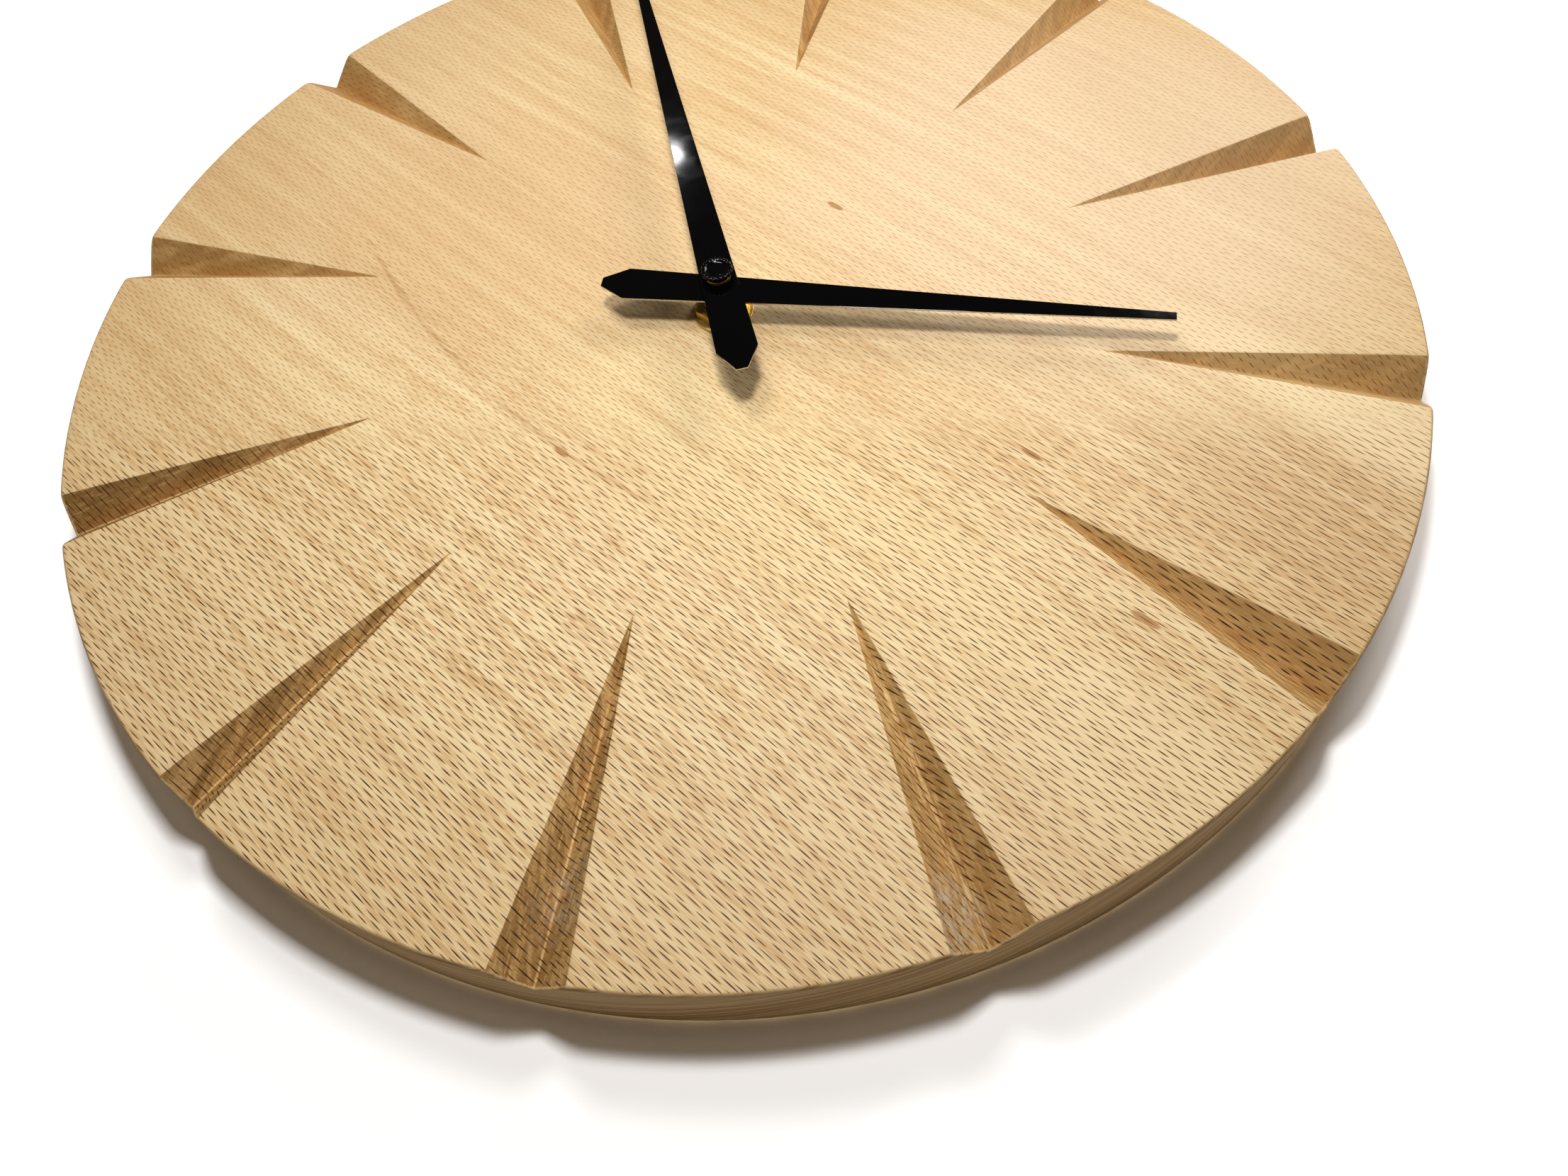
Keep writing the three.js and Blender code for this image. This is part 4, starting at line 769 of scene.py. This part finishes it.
def jacket():
    """Printed foil: a dark field, a copper-coloured band at the plus end between two fine light lines,
    the seam of the foil, and bare nickel at both ends."""
    foil = Finish("foil_jacket", {})
    x, y, z = foil.place()
    off_y, off_z = y + cell_out, z - cell_up
    radius = (off_y * off_y + off_z * off_z) ** 0.5
    wear = foil.noise(x / 5, y / 2, z / 2, 4.0, 0.6)
    bare = radius.step(6.75, 6.6)
    band = x.step(12.9, 13.1)
    edge = abs(x - 12.4).step(0.35, 0.2).most(abs(x - 11.4).step(0.2, 0.08))
    seam = abs(off_z - 3.5).step(0.12, 0.04) * off_y.step(-1, 1)
    print_colour = foil.lay(
        foil.mix(band, rgb(52, 58, 66), rgb(190, 122, 66)),
        (edge, 214, 214, 208),
        (wear.step(0.5, 0.8) * 0.25, 120, 122, 124),
        (seam * 0.7, 24, 26, 30))
    foil.feed({"Base Color": foil.mix(bare, print_colour, rgb(198, 196, 190)),
               "Metallic": (bare * 0.65 + 0.35).held(), "Roughness": 0.28 + wear * 0.14})
    foil.relief(wear * 0.015 - seam * 0.05)
    return foil.material


can = eased([(0, -22.8), (4.4, -22.8), (4.8, -23), (6.4, -23), (6.55, -22.85), (6.8, -23), (7.1, -22.6),
             (7.1, 24.8), (6.8, 25.2), (6.5, 25), (6.3, 25.1), (3.6, 25.1), (2.75, 25.3), (2.75, 26.2),
             (0, 26.2)], 0.25)
cell = solid("foil_wrapped_cell", along_x(can, cell_up, cell_out), 40)
fit(cell, jacket(), "clock_body", "battery_cell")
for node in ("positive_contact", "negative_contact"):
    fit(softened(node, 0.08), steel_finish, "clock_body", node)


# The stepping motor: an annealed iron stator and core, an acetal bobbin wound with enamelled copper wire,
# and a sintered magnet on the rotor's pinion.
coil_up = 21.2
coil_out = 8.7  # from the wall
coil_ends = (-8, 14)


def iron():
    """Annealed iron: grey-blue oxide in clouds, with the lines of the rolling."""
    metal = Finish("annealed_iron", {"Metallic": 1.0})
    x, y, z = metal.place()
    cloud = metal.noise(x / 4, y / 4, z / 4, 3.0, 0.6)
    lines = metal.noise(x / 8, y / 0.2, z / 0.12, 2.0)
    colour = metal.mix(cloud.step(0.35, 0.7), rgb(150, 151, 154), rgb(118, 122, 134))
    metal.feed({"Base Color": metal.mix(lines.step(0.5, 0.8) * 0.4, colour, rgb(176, 176, 176)),
                "Roughness": 0.38 + cloud * 0.2})
    metal.relief(lines * 0.006)
    return metal.material


def winding_grid():
    """Layers of wire: radius 3.58 less 0.08 |2 frac(x / 0.3 - angle / full turn) - 1|, ends closed."""
    angle = np.linspace(0, 2 * np.pi, 49)
    x = np.linspace(*coil_ends, 661)[:, None]
    radius = 3.58 - 0.08 * np.abs(2 * ((x / 0.3 - angle / (2 * np.pi)) % 1) - 1)
    rows = np.broadcast_arrays(x, coil_up + radius * np.sin(angle), coil_out + radius * np.cos(angle))
    ends = [along_x(np.array([[2.2, end]]), coil_up, coil_out, 48) for end in coil_ends]
    return np.concatenate([ends[0], np.stack(rows, -1), ends[1], ends[0]])


def copper():
    """Enamelled copper: the metal's colour deepened by the varnish, with painted shade in the dips between
    the turns.
    """
    wire = Finish("enamelled_copper", {"Metallic": 0.9, "Coat Roughness": 0.15})
    x, y, z = wire.place()
    off_y, off_z = y + coil_out, z - coil_up
    radius = (off_y * off_y + off_z * off_z) ** 0.5
    tone = wire.noise(x / 2, y / 2, z / 2, 3.0)
    colour = wire.mix(tone, rgb(178, 92, 42), rgb(206, 120, 60))
    # Painted shade: darker where the winding dips between the turns.
    wire.feed({"Base Color": wire.mix(radius.step(3.56, 3.5) * 0.6, colour, rgb(92, 40, 18)),
               "Roughness": 0.26 + tone * 0.14, "Coat Weight": 0.4 + tone * 0.3})
    return wire.material


def sintered():
    """Sintered magnet: dark grey, with fine open pores."""
    stone = Finish("sintered_magnet", {"Metallic": 0.5})
    x, y, z = stone.place()
    pores = stone.noise(x / 0.25, y / 0.25, z / 0.25, 3.0, 0.7)
    stone.feed({"Base Color": stone.mix(pores.step(0.4, 0.7), rgb(38, 38, 41), rgb(74, 74, 78)),
                "Roughness": 0.5 + pores * 0.2})
    stone.relief(pores * 0.02)
    return stone.material


iron_finish = iron()
for node in ("stator", "coil_core"):
    fit(softened(node, 0.08), iron_finish, "clock_body", node)
fit(softened("coil_bobbin", 0.08), white_finish, "clock_body", "coil_bobbin")
fit(solid("coil_of_wire", winding_grid(), 60), copper(), "clock_body", "coil_winding")
fit(softened("rotor_magnet", 0.15), sintered(), "rotor_set", "rotor_magnet")


# The circuit: a green board with copper tracks under its mask, a blob of black resin over the chip and the
# quartz crystal in its little steel can.
chip_place = (20.2, 1.2)
chip_foot = 5.2  # from the wall


def circuit():
    """Solder mask: wandering tracks 1.3 mm apart show through it, and tinned pads lie 2.4 mm apart."""
    mask = Finish("solder_mask", {"Specular IOR Level": 0.5})
    x, y, z = mask.place()
    bend = mask.noise(x / 5, 0.0, z / 5, 0.0) * 2.5
    lines = mask.math("PINGPONG", x / 1.3 + bend, 0.5).step(0.3, 0.34)
    pads = mask.math("PINGPONG", x / 2.4, 0.5) + mask.math("PINGPONG", z / 2.4, 0.5)
    tone = mask.noise(x / 3, y / 3, z / 3, 2.0)
    colour = mask.mix(lines * 0.8, rgb(20, 82, 44), rgb(48, 126, 68))
    colour = mask.mix(pads.step(0.1, 0.07), colour, rgb(206, 198, 176))
    mask.feed({"Base Color": mask.mix(tone * 0.3, colour, rgb(24, 70, 40)), "Roughness": 0.3 + tone * 0.15})
    mask.relief(lines * 0.03)
    return mask.material


def blob_grid():
    """Resin over the chip: height 1.15 (1 - s^2)^0.6 at a share s of its slightly uneven foot."""
    angle = np.linspace(0, 2 * np.pi, 65)
    share = np.sin(np.radians(np.linspace(90, 0, 15)))[:, None]
    foot = 2.88 + 0.1 * np.sin(3 * angle + 1) * share
    top = turn(share * foot, angle, chip_foot + 1.15 * np.maximum(1 - share ** 2, 0) ** 0.6)
    return np.concatenate([turn(0, angle, np.full((1, 1), chip_foot)), top]) + (*chip_place, 0)


def resin():
    """Black potting resin: glossy, with dull patches where it cured fast."""
    pot = Finish("potting_resin", {"Specular IOR Level": 0.5})
    x, y, z = pot.place()
    cure = pot.noise(x / 1.2, y / 1.2, z / 1.2, 3.0)
    pot.feed({"Base Color": pot.mix(cure, rgb(10, 10, 11), rgb(26, 26, 28)), "Roughness": 0.15 + cure * 0.3})
    pot.relief(cure * 0.05)
    return pot.material


fit(softened("circuit_board", 0.05), circuit(), "clock_body", "circuit_board")
fit(solid("resin_blob", blob_grid(), 60), resin(), "clock_body", "control_chip")
fit(softened("quartz_crystal", 0.2, 3), steel_finish, "clock_body", "quartz_crystal")


# The wheels: acetal mouldings on their own arbors, the brass hour wheel and minute arbor, and the bridge
# that carries their front pivots.
for node, body in (("train_bridge", "clock_body"), ("rotor_pinion", "rotor_set"),
                   ("fifth_wheel", "fifth_wheel_set"), ("second_wheel", "second_wheel_set"),
                   ("third_wheel", "third_wheel_set"), ("centre_wheel", "centre_wheel_set"),
                   ("minute_wheel", "minute_wheel_set")):
    fit(softened(node, 0.03, 1), white_finish, body, node)
for node, body in (("minute_arbor", "minute_hand_set"), ("hour_wheel", "hour_hand_set")):
    fit(softened(node, 0.04, 1), brass_finish, body, node)


# The wall and the light: the clock hangs on a white painted wall, lit by four lamps in front of it and by a
# sun from behind, for its back. The room adds a dim warm light and is white only to the eye.
def wall():
    """White paint that keeps the clock's shadow: painted shade darkens it next to the board, and it grows
    brighter outwards to even out the lamps, turning to plain white light from 200 to 300 mm. Only what
    looks at its front sees it, and light bounced off the board gets a little back from a ring around it."""
    paint = Finish("white_wall", {})
    x, y, z = paint.place()
    radius = (x * x + z * z) ** 0.5
    eye, gloss, clear_ray, soft = [paint.node("LightPath", {}, {}, "Is " + kind + " Ray")
                                   for kind in ("Camera", "Glossy", "Transmission", "Diffuse")]
    seen = eye.most(gloss).most(clear_ray)
    front = 1 - paint.node("NewGeometry", {}, {}, "Backfacing")
    # Painted shade: to the eye the wall is darker from 149 to 155 mm, next to the board's edge.
    brighter = 1 + radius.step(149, 155) * 0.7 + radius.step(150, 320) * 1.2
    white = seen * brighter + (1 - seen) * 0.75
    white = paint.node("CombineXYZ", {}, {0: white, 1: white, 2: white})
    near = paint.node("BsdfDiffuse", {}, {"Color": white})
    far = paint.node("Emission", {}, {"Color": (1, 1, 1), "Strength": seen})
    lit = paint.node("MixShader", {}, {0: radius.step(200, 300), 1: near, 2: far})
    ring = radius.step(150.5, 153) * radius.step(320, 240)
    clear = paint.node("BsdfTransparent", {}, {})
    shown = paint.node("MixShader", {}, {0: front * seen.most(soft * ring), 1: clear, 2: lit})
    paint.put(paint.end.inputs[0], shown)
    return paint.material


wall_half = 3  # of its width, in metres
wall_gap = 0.0003  # between the wall and the board's back
corners = [(side * wall_half, wall_gap, up * wall_half) for side, up in ((-1, -1), (1, -1), (1, 1), (-1, 1))]
backdrop_mesh = bpy.data.meshes.new("wall")
backdrop_mesh.from_pydata(corners, [], [(0, 1, 2, 3)])
backdrop_mesh.materials.append(wall())
backdrop = bpy.data.objects.new("wall", backdrop_mesh)
bpy.context.scene.collection.objects.link(backdrop)


def lamp(name, x, up, out, size, level):
    """A square lamp at a place before the dial, in metres, turned to the hub. Its power gives the
    dial's middle that level: power = pi^2 distance^2 level / cos(angle to the dial's axis)."""
    light = bpy.data.lights.new(name, "AREA")
    place = Vector((x, -0.02 - out, up))
    sight = Vector((0, -0.02, 0)) - place
    light.size = size
    light.energy = np.pi ** 2 * sight.length_squared * level / (abs(out) / sight.length)
    held = bpy.data.objects.new(name, light)
    held.location = place
    held.rotation_euler = sight.to_track_quat("-Z", "Y").to_euler()
    held.visible_camera = False
    bpy.context.scene.collection.objects.link(held)


lamp("lamp_front", 0.032, -0.013, 0.336, 0.055, 0.6)
lamp("lamp_side", -0.13, 0.05, 0.336, 0.09, 0.27)
lamp("lamp_above", 0.0, 0.46, 0.288, 0.22, 0.22)
lamp("lamp_glint", -0.467, 0.366, 0.45, 0.012, 0.003)
sun = bpy.data.objects.new("back_sun", bpy.data.lights.new("back_sun", "SUN"))
sun.data.energy = 2.6
sun.data.angle = 0.3
sun.rotation_euler = Vector((0.2, -0.97, -0.17)).to_track_quat("-Z", "Y").to_euler()
sun.visible_glossy = False
bpy.context.scene.collection.objects.link(sun)

world = bpy.data.worlds.new("pale_room")
bpy.context.scene.world = world
world.use_nodes = True
tree = world.node_tree
tree.nodes.clear()
ambient = tree.nodes.new("ShaderNodeBackground")
ambient.inputs["Color"].default_value = (1.0, 0.86, 0.7, 1)
ambient.inputs["Strength"].default_value = 0.08
white = tree.nodes.new("ShaderNodeBackground")
white.inputs["Color"].default_value = (1, 1, 1, 1)
paths = tree.nodes.new("ShaderNodeLightPath")
choice = tree.nodes.new("ShaderNodeMixShader")
end = tree.nodes.new("ShaderNodeOutputWorld")
tree.links.new(paths.outputs["Is Camera Ray"], choice.inputs[0])
tree.links.new(ambient.outputs[0], choice.inputs[1])
tree.links.new(white.outputs[0], choice.inputs[2])
tree.links.new(choice.outputs[0], end.inputs[0])


# The camera: a wide lens held in front of the dial, towards 4 o'clock and below, and rolled. Its place and
# turn were solved from the round rim and the twelve grooves.
camera_sight = Vector((-0.38981, 0.857316, 0.33624)).normalized()
camera_up = Vector((-0.537181, -0.508254, 0.673137))
camera_right = camera_sight.cross(camera_up).normalized()
camera_up = camera_right.cross(camera_sight)
camera = bpy.data.objects.new("camera", bpy.data.cameras.new("camera"))
axes = Matrix((camera_right, camera_up, -camera_sight)).transposed()
camera.matrix_world = Matrix.Translation((0.149317, -0.219109, -0.124224)) @ axes.to_4x4()
camera.data.lens = 27.48
camera.data.sensor_width = 36
camera.data.clip_start = 0.01
bpy.context.scene.collection.objects.link(camera)
bpy.context.scene.camera = camera
bpy.context.scene.view_settings.view_transform = "Standard"
